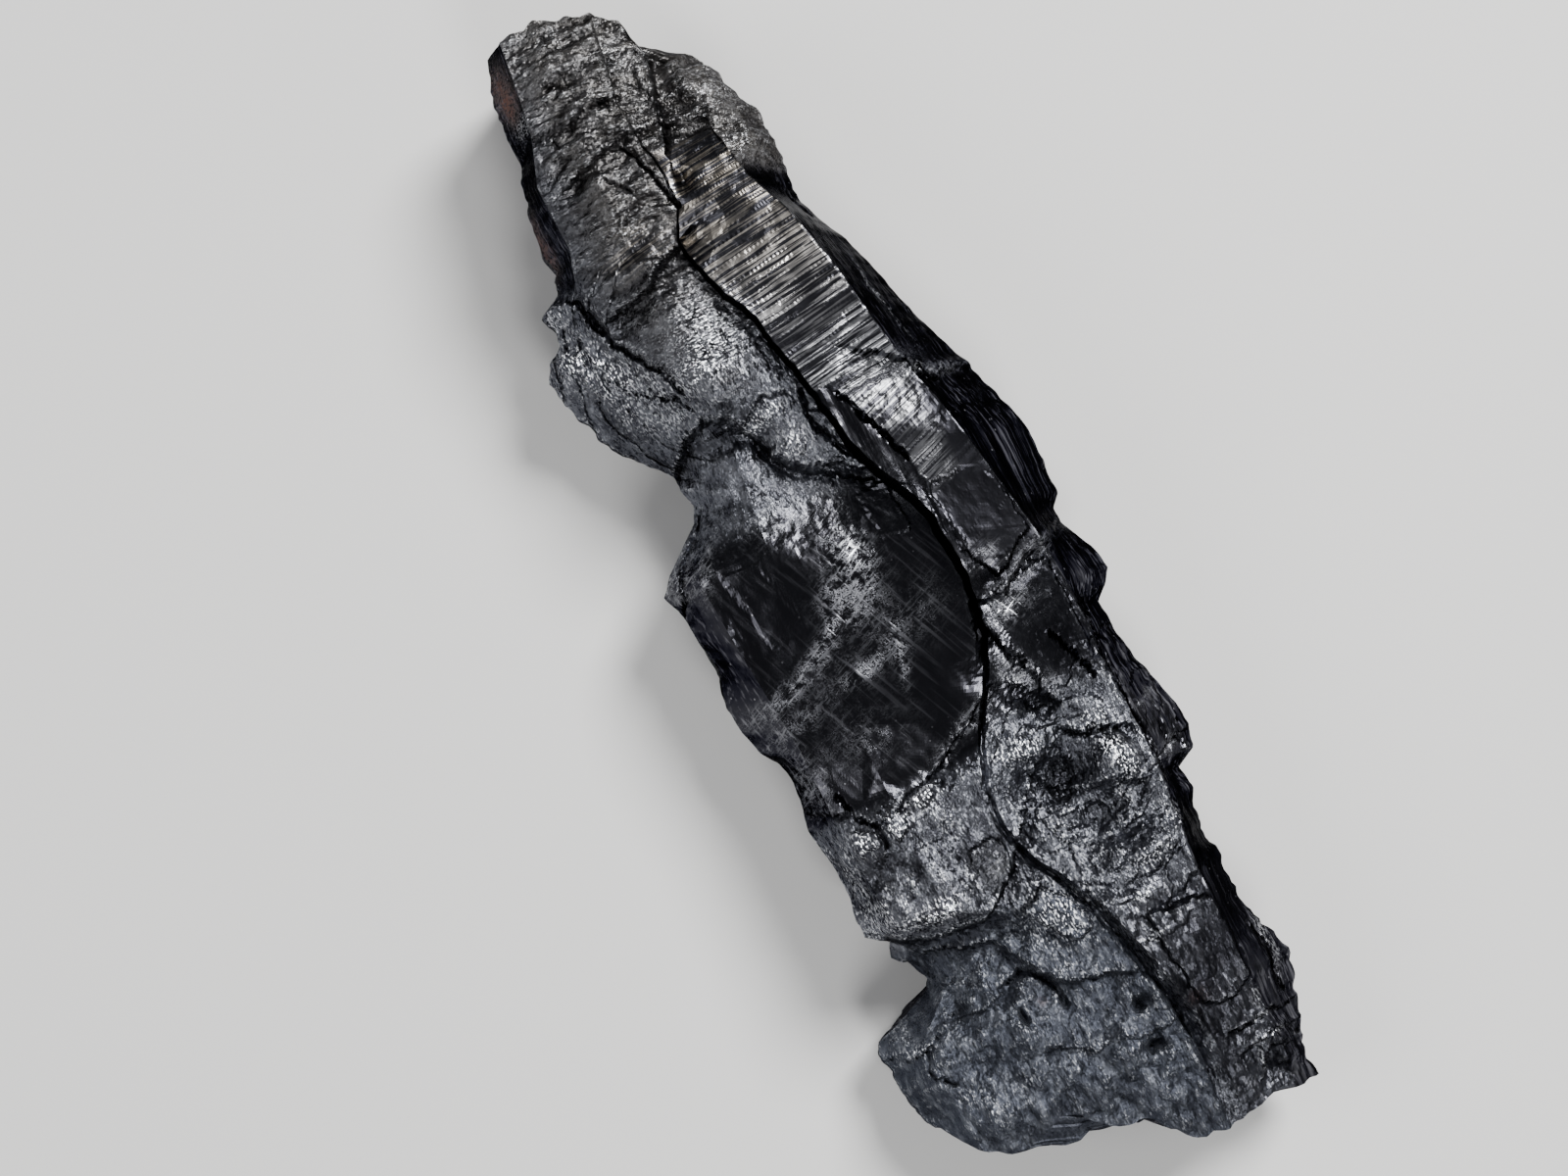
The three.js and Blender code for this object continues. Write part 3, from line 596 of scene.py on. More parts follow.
# The small ledges.
SMALL_LEDGES: tuple[Ledge, ...] = (
    Ledge(0.24, 1.0, ((-8.2, 16.4), (-7.7, 15.4), (-7.6, 13.8), (-7.0, 12.4), (-6.0, 11.3)), 0.12),
    Ledge(0.2, 0.9, ((-6.7, 13.6), (-6.0, 12.7), (-5.6, 11.7), (-4.9, 10.8)), 0.12),
    Ledge(0.22, 0.8, ((-9.0, 14.6), (-8.3, 13.9), (-8.0, 13.0), (-7.6, 12.4)), 0.12),
    Ledge(0.2, 1.0, ((-6.9, 22.9), (-6.0, 22.8), (-5.3, 22.3), (-5.0, 21.6)), 0.2, 0.6),
    Ledge(0.2, 1.1, ((-4.6, 22.6), (-3.6, 22.9), (-2.4, 22.8)), 0.2, 0.6),
    Ledge(0.3, 1.0, ((-0.9, 23.4), (-0.8, 22.4), (-0.9, 21.3)), 0.2, 0.6),
    Ledge(0.2, 0.9, ((-4.4, 24.6), (-3.6, 24.4), (-2.4, 24.9), (-1.2, 24.6)), 0.2, 0.6),
    Ledge(0.2, 0.9, ((0.0, 20.4), (0.9, 20.7), (1.9, 20.5), (3.0, 20.7)), 0.2, 0.6),
    Ledge(0.24, 1.2, ((-4.2, 9.0), (-3.2, 8.9), (-2.2, 9.5), (-1.2, 9.2), (-0.6, 8.2)), 0.14),
    Ledge(0.3, 0.9, ((-2.4, 7.0), (-1.7, 6.2), (-0.7, 5.9), (0.2, 5.2)), 0.12),
    Ledge(0.3, 1.2, ((-8.6, 3.6), (-8.3, 4.7), (-7.6, 5.6), (-6.9, 6.2)), 0.14),
    Ledge(0.3, 1.3, ((-2.7, -7.1), (-1.6, -6.5), (0.1, -5.5), (0.8, -4.9)), 0.14, 0.3),
    Ledge(0.3, 1.2, ((-7.6, -6.4), (-6.2, -7.2), (-5.4, -8.0), (-4.2, -7.5), (-2.9, -7.2)), 0.14),
    Ledge(0.3, 1.4, ((2.0, -3.6), (2.3, -4.6), (2.8, -5.4), (3.2, -6.6)), 0.14, 0.4),
    Ledge(0.4, 1.0, ((3.0, -7.8), (3.5, -8.4), (3.9, -8.2), (4.9, -8.6), (5.4, -8.8)), 0.1, 0.4),
    Ledge(0.3, 1.2, ((1.0, -8.6), (1.6, -9.6), (2.6, -10.2), (3.8, -10.4), (4.8, -10.9)), 0.3, 0.6),
    Ledge(0.3, 1.1, ((0.9, -11.6), (1.8, -12.3), (3.0, -12.5), (4.4, -12.2), (5.4, -12.6)), 0.3, 0.6),
    Ledge(0.2, 1.1, ((1.4, -13.9), (2.6, -14.4), (3.9, -14.3), (5.2, -13.7)), 0.25, 0.6),
    Ledge(0.16, 1.0, ((1.6, -15.5), (2.8, -15.8), (4.0, -15.7), (5.2, -15.2)), 0.25, 0.6),
    Ledge(0.16, 0.9, ((1.9, -16.8), (3.0, -17.0), (4.0, -16.7)), 0.2, 0.6),
    Ledge(0.35, 1.4, ((-9.3, -16.9), (-8.2, -17.2), (-7.4, -16.9)), 0.14),
    Ledge(0.3, 1.2, ((-6.0, -16.4), (-4.8, -16.6), (-3.8, -16.2)), 0.14),
    Ledge(0.3, 1.2, ((-2.6, -19.4), (-1.6, -20.0), (-0.6, -19.9), (0.6, -20.4), (1.6, -20.3)), 0.14),
    Ledge(0.4, 0.9, ((4.0, -21.7), (5.6, -21.6), (6.4, -21.8)), 0.12),
    Ledge(0.4, 0.9, ((4.2, -22.6), (5.4, -22.3), (6.2, -22.6)), 0.12),
    Ledge(0.5, 0.9, ((4.4, -23.6), (4.9, -22.9), (5.9, -23.1)), 0.12),
    Ledge(0.3, 0.9, ((5.8, -4.9), (6.6, -4.6), (7.2, -4.9)), 0.12),
    Ledge(0.3, 0.9, ((5.8, -10.6), (6.8, -10.1), (8.2, -10.0)), 0.12),
)

# The crack beside the dark blade and the one round the left-hand lump. Paths are (x, y).
LARGE_CRACKS: tuple[Crack, ...] = (
    Crack(0.13, 0.4, ((0.6, 8.2), (1.0, 7.0), (1.5, 6.2), (1.9, 4.6))),
    Crack(0.2, 0.5, ((-7.7, 17.2), (-7.1, 16.2), (-6.8, 15.0), (-6.2, 13.4), (-5.3, 12.2), (-4.9, 11.0))),
)

# The fine cracks.
HAIRLINES: tuple[Crack, ...] = (
    Crack(0.14, 0.4, ((-2.85, 20.9), (-2.45, 20.0), (-2.1, 18.9), (-1.8, 17.6))),
    Crack(0.14, 0.4, ((-0.6, 8.9), (-0.9, 8.2), (-0.6, 7.2), (-0.3, 6.4), (0.3, 5.5))),
    Crack(0.12, 0.3, ((4.1, -4.2), (4.6, -5.1), (5.0, -6.5))),
    Crack(0.13, 0.4, ((3.0, -7.8), (3.5, -8.45), (3.9, -8.2), (4.9, -8.65))),
    Crack(0.18, 0.35, ((-3.8, -16.1), (-3.0, -16.0), (-2.2, -16.4), (-1.8, -16.9), (-1.8, -17.7))),
    Crack(0.16, 0.3, ((-7.7, -17.2), (-7.8, -18.3), (-7.3, -18.9))),
    Crack(0.14, 0.3, ((-5.6, -8.9), (-5.5, -8.1), (-6.2, -7.2), (-6.6, -6.2))),
    Crack(0.12, 0.3, ((2.3, 17.4), (2.6, 16.6), (3.0, 15.6))),
    Crack(0.16, 0.35, ((6.0, -10.9), (5.8, -8.0), (5.8, -5.2), (6.0, -3.4))),
    Crack(0.16, 0.35, ((6.5, -18.2), (6.6, -19.6), (6.4, -21.2))),
    Crack(0.1, 0.2, ((-6.3, 22.9), (-5.3, 22.3), (-5.1, 22.0))),
    Crack(0.1, 0.2, ((-4.4, 22.5), (-3.5, 22.9), (-2.5, 22.7))),
    Crack(0.12, 0.3, ((-7.1, 12.9), (-6.8, 12.2), (-6.0, 11.6), (-5.2, 10.9), (-4.9, 10.3))),
    Crack(0.1, 0.2, ((-4.0, 20.0), (-3.4, 19.3), (-3.2, 18.9))),
    Crack(0.1, 0.25, ((1.9, -1.5), (1.8, -2.5), (2.0, -3.8), (2.6, -4.8))),
)

# Pits and small hollows. Each takes its value away from the height.
PITS: tuple[Bell, ...] = (
    Bell(-1.6, 21.3, 0.45, 0.2, 0.25), Bell(-2.9, 21.2, 0.5, 0.2, 0.3), Bell(-2.6, 22.7, 0.35, 0.2, 0.4),
    Bell(-1.1, 18.6, 0.35, 0.5, 0.6), Bell(0.3, 20.6, 0.5, 0.3, 0.4), Bell(0.85, -19.1, 0.3, 0.35, 0.8),
    Bell(0.75, -20.9, 0.45, 0.2, 0.7), Bell(-5.7, -16.3, 0.4, 0.3, 0.5),
    Bell(-0.7, -19.7, 0.3, 0.25, 0.5), Bell(-3.5, -17.4, 0.15, 0.4, 0.4), Bell(5.2, -24.3, 0.5, 0.5, 0.5),
    Bell(-4.0, 24.4, 0.5, 0.2, 0.3), Bell(-6.4, -13.9, 0.5, 0.5, 0.4),
)

# Chips and knobs that are smaller than the lumps of the solid.
SMALL_LUMPS: tuple[Bell, ...] = (
    Bell(1.9, 21.9, 0.9, 1.3, 1.1), Bell(2.2, 19.3, 0.7, 1.1, 1.0), Bell(0.6, 22.4, 0.5, 0.8, 0.3),
    Bell(-1.8, 7.3, 0.7, 0.8, 0.35), Bell(-2.3, 8.9, 0.7, 0.4, 0.3), Bell(4.6, -9.6, 0.5, 0.8, 0.3),
)

# Cleavage plates: the big one in the middle, and two lower down. Outlines are (x, y), clockwise.
PLATES: tuple[Plate, ...] = (
    Plate(0.06, (-0.01, 0.01), (
        (-9.4, 5.3), (-3.2, 4.4), (-2.9, 1.0), (-3.8, -0.9), (-9.6, -2.6), (-10.0, 1.0),
    ), 0.9),
    Plate(0.5, (-0.1, -0.12), ((-1.9, -13.7), (-0.6, -13.1), (0.3, -14.0), (0.6, -15.5), (-0.5, -15.7))),
    Plate(0.35, (0.05, 0.05), ((2.5, -15.8), (5.4, -16.2), (5.5, -20.0), (4.3, -20.6), (3.0, -20.2))),
)

# Thin cleavage layers that lie on the faces and tilt them a little.
SMALL_PLATES: tuple[Plate, ...] = (
    Plate(0.04, (-0.01, 0.01), ((-6.9, 3.9), (-5.2, 3.7), (-4.4, 0.3), (-6.2, 0.0)), 0.2),
    Plate(0.08, (0.04, 0.0), ((-0.4, 4.4), (0.9, 4.4), (1.0, 2.0), (-0.4, 2.2)), 0.14),
    Plate(0.18, (0.14, 0.05), (
        (-2.9, -10.4), (-1.6, -10.3), (-1.1, -11.2), (-1.5, -12.2), (-2.7, -12.6),
    ), 0.12),
    Plate(0.1, (0.15, 0.06), ((2.3, -1.7), (5.4, -1.0), (5.5, -6.0), (3.4, -6.8), (2.3, -4.0)), 0.2),
    Plate(0.14, (0.05, -0.1), ((2.2, 3.4), (4.6, 3.2), (5.2, 0.0), (3.1, -1.2), (2.2, 0.4)), 0.12),
    Plate(0.2, (0.05, 0.06), ((-4.0, -7.3), (-2.9, -7.2), (-2.9, -8.1), (-4.0, -8.3)), 0.1),
    Plate(0.2, (-0.08, 0.08), ((-5.3, -7.9), (-4.3, -7.8), (-4.4, -8.8), (-5.1, -9.0)), 0.1),
    Plate(0.2, (0.1, -0.08), ((-6.7, -7.7), (-5.6, -8.2), (-5.8, -8.9), (-6.7, -8.9)), 0.1),
)

# The bulge, lumps and chips, and where the value is negative, hollows.
LUMPS: tuple[Bell, ...] = (
    Bell(-3.8, 12.3, 2.0, 2.2, 0.7), Bell(-4.9, 16.2, 1.6, 0.8, 0.4), Bell(-3.9, 18.7, 1.8, 1.0, 0.4),
    Bell(-4.0, 25.0, 1.4, 1.0, 0.4), Bell(-8.7, 14.0, 0.9, 1.3, 0.6), Bell(-8.0, 16.4, 0.7, 0.7, 0.4),
    Bell(1.2, 21.9, 1.1, 1.0, 0.5), Bell(1.8, 19.3, 0.9, 1.0, 0.5), Bell(0.9, -7.7, 0.9, 0.7, 0.6),
    Bell(2.0, -9.4, 1.2, 0.9, -0.9), Bell(3.2, -11.4, 1.3, 0.6, -0.7), Bell(4.3, -9.8, 0.8, 0.9, 0.6),
    Bell(1.1, -11.9, 1.1, 0.8, 0.5), Bell(3.7, -13.5, 1.5, 0.7, 0.8), Bell(-5.6, -8.4, 1.3, 0.9, 0.5),
    Bell(-6.6, -11.0, 1.1, 1.1, 0.4), Bell(-7.7, -18.8, 1.3, 1.6, 0.5), Bell(-5.6, -20.5, 1.5, 1.1, 0.5),
    Bell(-3.4, -18.4, 1.3, 1.1, 0.4), Bell(-0.6, -20.6, 1.2, 1.0, 0.5), Bell(5.5, -23.5, 0.7, 1.0, 0.5),
    Bell(2.6, -1.3, 0.6, 0.5, -0.3), Bell(-8.0, 1.0, 0.8, 2.0, 0.3), Bell(-3.0, 7.7, 0.4, 0.45, -0.5),
    Bell(2.1, -6.0, 1.8, 0.5, -0.7, -51.0),
)

# Where the crystal is broken and granular, as a share of the whole grain height.
COARSE_GRAIN: tuple[Bell, ...] = (
    Bell(-4.2, 22.0, 3.0, 6.0, 0.5), Bell(1.6, 20.8, 1.8, 3.4, 0.6), Bell(-7.8, 15.0, 2.2, 3.4, 0.6),
    Bell(-5.6, -9.8, 3.6, 2.6, 0.7), Bell(-4.6, -18.6, 6.4, 4.6, 0.9), Bell(3.0, -11.0, 3.4, 4.0, 0.8),
    Bell(3.6, -22.6, 3.6, 3.0, 0.7), Bell(-2.2, 7.6, 2.4, 2.4, 0.3),
)

# Light scratched patches on the dark faces.
SCUFFS: tuple[Bell, ...] = (
    Bell(-1.7, 2.0, 0.9, 1.4, 1.3), Bell(-2.6, 0.7, 1.1, 1.1, 1.3), Bell(-4.7, -0.8, 1.9, 0.4, 0.9, 33.0),
    Bell(-6.9, -1.8, 1.5, 0.4, 0.8, 12.0), Bell(-3.4, -1.9, 1.8, 0.9, 0.4),
    Bell(-6.6, -3.0, 1.5, 0.5, 0.6, 12.0), Bell(-1.0, -1.2, 1.2, 0.9, 0.4),
    Bell(-4.6, -4.6, 1.9, 1.3, 0.35), Bell(-0.7, -6.0, 2.4, 0.3, 0.9, 29.0),
    Bell(-3.6, 4.6, 2.2, 1.0, 0.3), Bell(0.5, -0.6, 1.0, 1.2, 0.25),
    Bell(5.0, -0.9, 1.1, 0.35, 1.0, 20.0), Bell(3.2, -0.1, 0.6, 0.22, 1.0, 15.0),
    Bell(-7.3, -5.3, 0.6, 1.1, 1.0), Bell(-8.3, 4.6, 0.7, 1.0, 0.9), Bell(-7.0, 4.5, 1.2, 0.3, 0.9, 62.0),
    Bell(-2.5, 6.4, 1.8, 1.6, 0.35), Bell(2.7, -5.3, 0.4, 1.3, 0.9, 39.0), Bell(1.2, 3.6, 0.8, 1.4, 0.3),
    Bell(3.0, -2.3, 1.0, 0.8, 1.0, 24.0), Bell(4.1, -1.2, 0.9, 0.25, 0.8, 24.0),
    Bell(4.4, -3.0, 0.8, 0.6, 0.25), Bell(5.0, 7.5, 1.0, 0.25, 1.0), Bell(3.4, 8.2, 1.0, 0.8, 0.6),
    Bell(6.6, -10.4, 0.9, 0.2, 0.8, 20.0), Bell(6.8, -8.1, 0.8, 0.15, 0.6, 15.0),
    Bell(-1.7, -2.4, 1.3, 0.25, 0.7, 75.0), Bell(-3.2, -2.2, 1.0, 0.3, 0.7, 10.0),
)

# Painted highlights: faces that catch the light, where silver is painted into the colour.
PAINTED_HIGHLIGHTS: tuple[Bell, ...] = (
    Bell(-4.8, -8.3, 0.5, 0.5, 1.6), Bell(-6.3, -8.5, 0.4, 0.5, 1.5), Bell(-3.4, -7.8, 0.6, 0.35, 1.0),
    Bell(-7.6, -11.7, 0.35, 0.6, 1.6), Bell(-6.8, -11.3, 0.25, 0.5, 1.4),
    Bell(-5.2, -12.1, 1.5, 0.35, 1.1), Bell(-7.2, -9.6, 0.3, 1.4, 0.7), Bell(-3.0, -9.0, 0.4, 0.7, 0.5),
    Bell(-4.2, -10.8, 0.3, 0.8, 0.5), Bell(-7.9, -11.9, 0.3, 0.6, 1.0), Bell(-4.5, -12.2, 0.35, 0.4, 0.8),
    Bell(-4.0, -9.7, 0.35, 0.2, 1.0, -40.0), Bell(-5.9, -11.4, 0.2, 0.45, 0.8),
    Bell(-5.3, -10.7, 0.25, 0.4, 0.6), Bell(-6.2, -10.5, 0.2, 0.4, 0.6), Bell(-7.8, -8.4, 0.2, 0.4, 0.8),
    Bell(-3.0, -11.5, 0.2, 0.5, 0.6), Bell(4.5, -9.8, 0.5, 1.0, 1.5, 20.0),
    Bell(3.8, -13.9, 1.0, 0.45, 0.8), Bell(2.9, -15.2, 0.8, 0.35, 0.6), Bell(2.6, -16.8, 0.5, 0.25, 0.8),
    Bell(1.0, -7.8, 0.8, 0.5, 1.2), Bell(4.2, -7.9, 0.7, 0.35, 1.1), Bell(5.2, -12.8, 0.4, 0.7, 0.7),
    Bell(0.9, -11.4, 0.6, 1.1, 0.45, 30.0), Bell(0.1, -7.7, 0.4, 0.25, 1.0),
    Bell(3.9, -11.2, 0.3, 0.5, 0.7), Bell(2.2, -13.0, 1.0, 0.3, 0.4, -30.0),
    Bell(2.9, -2.3, 0.7, 0.5, 0.8, 24.0), Bell(-3.1, 12.8, 1.3, 1.7, 0.85),
    Bell(-4.3, 11.4, 1.3, 0.8, 0.6), Bell(-7.2, 12.0, 0.6, 1.1, 0.8), Bell(-8.3, 14.6, 0.8, 0.8, 1.2),
    Bell(-6.2, 12.0, 0.6, 1.0, 0.8), Bell(-8.3, 16.4, 0.6, 0.5, 0.9),
    Bell(-7.4, 13.4, 0.7, 0.9, 0.9, 30.0), Bell(-5.8, 10.4, 0.9, 0.4, 0.6, -20.0),
    Bell(-2.2, 8.8, 0.9, 0.35, 0.7), Bell(-1.8, 7.3, 0.8, 0.7, 0.8), Bell(-3.0, 8.6, 0.5, 0.3, 0.5),
    Bell(-1.2, 4.6, 0.6, 1.2, 0.25), Bell(-4.4, 5.2, 0.8, 0.4, 0.3), Bell(2.2, 21.6, 0.8, 1.2, 0.2),
    Bell(-1.6, 2.3, 0.3, 0.8, 0.6), Bell(1.9, -5.0, 0.3, 0.8, 0.4, 39.0), Bell(-6.0, 23.6, 0.4, 0.5, 0.5),
    Bell(-1.6, 24.4, 0.6, 0.6, 0.4), Bell(-3.6, 26.3, 0.7, 0.4, 0.4), Bell(1.5, 21.6, 1.0, 0.6, 0.3),
    Bell(1.4, 19.2, 0.7, 0.8, 0.35), Bell(0.8, 22.8, 0.6, 0.5, 0.3), Bell(-1.7, 18.6, 0.15, 0.3, 0.9),
    Bell(-4.0, 18.0, 1.0, 0.6, 0.3), Bell(-3.2, 19.6, 0.8, 0.5, 0.3), Bell(-0.5, -14.4, 1.4, 1.3, 0.9),
    Bell(-1.2, -16.4, 0.6, 0.2, 0.5), Bell(5.2, -20.8, 0.16, 0.5, 0.7), Bell(4.9, -21.7, 0.7, 0.12, 0.8),
    Bell(5.1, -22.5, 0.7, 0.12, 0.8), Bell(4.5, -23.2, 0.16, 0.4, 0.8), Bell(-8.0, -17.0, 0.9, 0.3, 0.6),
    Bell(-6.8, -19.6, 0.6, 0.35, 0.6), Bell(-6.2, -20.6, 0.35, 0.6, 0.5),
    Bell(-4.6, -20.0, 1.0, 0.3, 0.35), Bell(-4.8, -15.2, 1.2, 0.5, 0.2),
    Bell(-1.7, -19.8, 0.8, 0.25, 0.5), Bell(6.9, -19.0, 0.2, 1.2, 0.5), Bell(-8.8, 4.5, 0.2, 0.7, 0.8),
    Bell(-8.0, 5.3, 0.7, 0.2, 0.6, 35.0), Bell(3.6, 7.6, 0.9, 0.12, 0.8), Bell(5.1, 11.0, 0.12, 0.7, 0.8),
    Bell(3.9, 11.5, 0.1, 2.6, 0.4, 10.0),
)

# Painted shade: cracks' surroundings, hollows and faces that stay dark, painted near black.
PAINTED_SHADES: tuple[Bell, ...] = (
    Bell(-5.6, 9.0, 2.4, 0.4, 0.4), Bell(-8.2, 10.6, 0.7, 1.2, 0.5, -30.0),
    Bell(-7.2, 9.3, 0.9, 0.6, 0.4), Bell(-3.0, 7.7, 0.3, 0.3, 0.7), Bell(1.2, 6.4, 0.4, 1.4, 0.5, 12.0),
    Bell(0.4, 3.8, 0.8, 0.7, 0.6), Bell(-4.6, 15.6, 1.8, 0.3, 0.8, 8.0),
    Bell(-7.0, 16.0, 0.35, 1.4, 0.9, 10.0), Bell(-5.6, 13.6, 0.3, 1.4, 0.6, 25.0),
    Bell(-4.0, 20.5, 3.2, 6.5, 0.25), Bell(-5.5, 19.0, 0.8, 2.0, 0.3), Bell(-6.5, 21.5, 0.5, 1.5, 0.5),
    Bell(-3.4, 21.0, 1.8, 0.25, 0.35), Bell(-1.9, 21.2, 0.5, 0.3, 0.4), Bell(-4.6, 22.8, 1.8, 0.25, 0.5),
    Bell(-0.8, 21.8, 0.3, 0.5, 0.9), Bell(0.4, 20.7, 0.7, 0.25, 0.7), Bell(-1.1, 18.7, 0.3, 0.9, 0.7),
    Bell(2.2, 16.4, 0.5, 2.0, 1.0, 25.0), Bell(-0.3, 24.0, 0.4, 0.6, 0.6),
    Bell(-3.2, 24.6, 0.9, 0.25, 0.5), Bell(2.7, 20.0, 0.5, 1.5, 0.3), Bell(3.5, 1.3, 1.5, 1.7, 1.0),
    Bell(4.4, 4.6, 0.8, 2.4, 0.9, 12.0), Bell(4.6, -1.6, 2.0, 0.35, 0.4, 14.0),
    Bell(2.7, -1.0, 0.6, 0.4, 0.7), Bell(2.1, -6.0, 1.9, 0.5, 0.8, -51.0),
    Bell(5.8, -14.4, 0.6, 1.6, 0.6), Bell(1.8, -9.9, 0.6, 0.6, 0.6), Bell(4.3, -3.9, 1.3, 1.5, 0.7),
    Bell(4.4, -20.0, 1.8, 3.4, 0.5), Bell(-2.3, -10.6, 0.9, 0.8, 0.6), Bell(-5.2, -10.0, 2.2, 1.3, 0.65),
    Bell(2.1, -9.4, 1.1, 0.7, 0.9), Bell(3.4, -11.5, 1.5, 0.45, 0.8), Bell(4.6, -5.4, 0.9, 1.2, 0.5),
    Bell(-4.6, -13.9, 2.6, 0.35, 0.9), Bell(-2.0, -12.2, 0.9, 1.0, 0.8), Bell(-6.6, -9.9, 0.9, 0.9, 0.5),
    Bell(-5.6, -7.4, 1.2, 0.4, 0.7), Bell(4.0, -18.2, 1.6, 1.6, 0.7), Bell(5.6, -17.0, 0.8, 2.4, 0.6),
    Bell(3.2, -21.6, 0.8, 2.0, 0.7), Bell(-3.0, -16.6, 1.0, 0.35, 0.6), Bell(0.4, -18.9, 1.0, 0.6, 0.4),
    Bell(-4.5, -22.0, 4.0, 0.8, 0.5), Bell(1.0, -24.2, 2.0, 0.9, 0.5), Bell(-8.6, -18.9, 0.7, 1.2, 0.4),
    Bell(-7.0, -14.6, 1.0, 0.7, 0.4), Bell(0.0, 8.6, 0.5, 1.6, 0.6, 10.0), Bell(-0.7, 5.9, 0.6, 0.8, 0.5),
)

# Painted highlight along the striated face: how brightly the cross striations are painted, (y, shine).
SHINE: Knots = (
    (-4.0, 0.3), (-0.6, 0.15), (0.4, 0.0), (2.7, 0.0), (3.4, 0.4), (4.2, 0.6), (4.8, 0.1), (5.6, 0.2),
    (6.2, 0.7), (7.0, 0.7), (7.6, 0.35), (8.6, 0.95), (9.8, 0.95), (10.0, 0.15), (10.3, 0.9), (10.7, 0.15),
    (11.3, 0.3), (11.6, 1.0), (14.2, 0.85), (14.9, 0.5), (16.6, 0.5), (17.4, 0.2), (18.2, 0.55), (19.4, 0.4),
    (20.4, 0.1),
)

# The edge of the dark blade beside the seam, (x, y) from its top down.
DARK_BLADE: Knots = (
    (0.3, 8.9), (0.7, 8.0), (1.1, 7.0), (1.6, 6.2), (1.9, 4.9), (2.2, 3.4), (2.5, 1.6), (2.6, -0.4),
)

# Patches of cross striations away from the striated face.
STRIATED_PATCHES: tuple[Bell, ...] = (
    Bell(-3.4, -7.8, 0.9, 0.5, 0.9), Bell(-2.0, -11.4, 0.8, 0.9, 0.6), Bell(-4.2, 16.8, 1.4, 0.7, 0.9),
    Bell(-3.0, 10.6, 0.8, 1.0, 0.4),
)

# Orange-brown stains, most of them on the left side of the tip.
RUST_STAINS: tuple[Bell, ...] = (
    Bell(-6.15, 25.6, 0.35, 1.0, 0.6), Bell(-6.1, 24.7, 0.25, 0.5, 0.5),
    Bell(-7.35, 19.6, 0.22, 0.9, 0.45), Bell(-7.4, 18.5, 0.2, 0.5, 0.3), Bell(2.9, -19.8, 0.4, 0.3, 0.15),
    Bell(-2.6, -17.4, 0.2, 0.2, 0.25),
)


# Where each kind of surface begins and where it ends along the crystal.
STRIATED_SPAN: Span = ((-0.9, -0.2), (19.8, 20.6))
BLADE_SPAN: Span = ((-0.6, 0.2), (8.3, 8.8))
PLATE_SPAN: Span = ((-7.6, -6.8), (4.4, 5.6))
BELOW_BLADE_SPAN: Span = ((-7.0, -5.4), (-0.4, 0.4))
LIP_SPAN: Span = ((-7.0, -5.4), (16.0, 18.0))
DARK_SEAM_SPAN: Span = ((-2.0, 0.0), (14.0, 17.0))
SWIRL_SPAN: Span = ((-17.0, -15.0), (-6.4, -4.4))
BULGE_SPAN: Span = ((9.0, 10.5), (15.5, 17.0))
LAYERED_SPAN: Span = ((8.0, 8.8), (16.4, 17.4))

# Where a kind of surface that goes on to an end of the crystal starts, and where it is full.
SIDE_START = (18.8, 17.2)
TIP_RIM_START = (16.5, 18.0)
TIP_GRAIN_START = (14.5, 16.5)
COLUMN_START = (-14.0, -16.0)
SPLINTERS_START = (-14.5, -17.0)
FOOT_START = (-12.9, -13.9)
GROOVE_START = (-10.5, -12.5)

# Broken facets: height, size across and along the crystal, and seed.
COARSE_FACETS: tuple[Facets, ...] = (Facets(0.65, 2.4, 2.4, 1), Facets(0.35, 1.4, 1.4, 11))
GRAIN_FACETS: tuple[Facets, ...] = (
    Facets(0.34, 1.0, 1.25, 81), Facets(0.26, 0.56, 0.75, 85), Facets(0.18, 0.31, 0.42, 89),
)
SPLINTERS: tuple[Facets, ...] = (Facets(0.16, 0.55, 4.4, 78), Facets(0.13, 0.8, 1.1, 80))
WRINKLES: tuple[Facets, ...] = (Facets(0.36, 1.5, 0.52, 75), Facets(0.24, 0.7, 0.29, 79))
WALL_LAYERS: tuple[Facets, ...] = (Facets(0.3, 3.0, 0.6, 91), Facets(0.14, 0.9, 0.4, 95))
FIBRE_RIBS = Facets(1.0, 0.4, 4.2, 61)
PLATE_RIBS = Facets(0.015, 0.45, 3.0, 62)
CLEAVAGE_WAVES = Facets(0.015, 0.9, 2.4, 65)
BACK_WEAR = Facets(0.12, 0.8, 5.0, 97)
END_FACETS = Facets(0.3, 0.7, 0.7, 100)


@dataclass(frozen=True)
class Surface:
    """Places on the crystal's grid and what is known of them before the relief is worked in."""

    x: Array
    y: Array
    z: Array
    strip: Array  # the Strip's number on the front, OFF_FRONT elsewhere
    across: Array  # from 0 to 1 across the strip


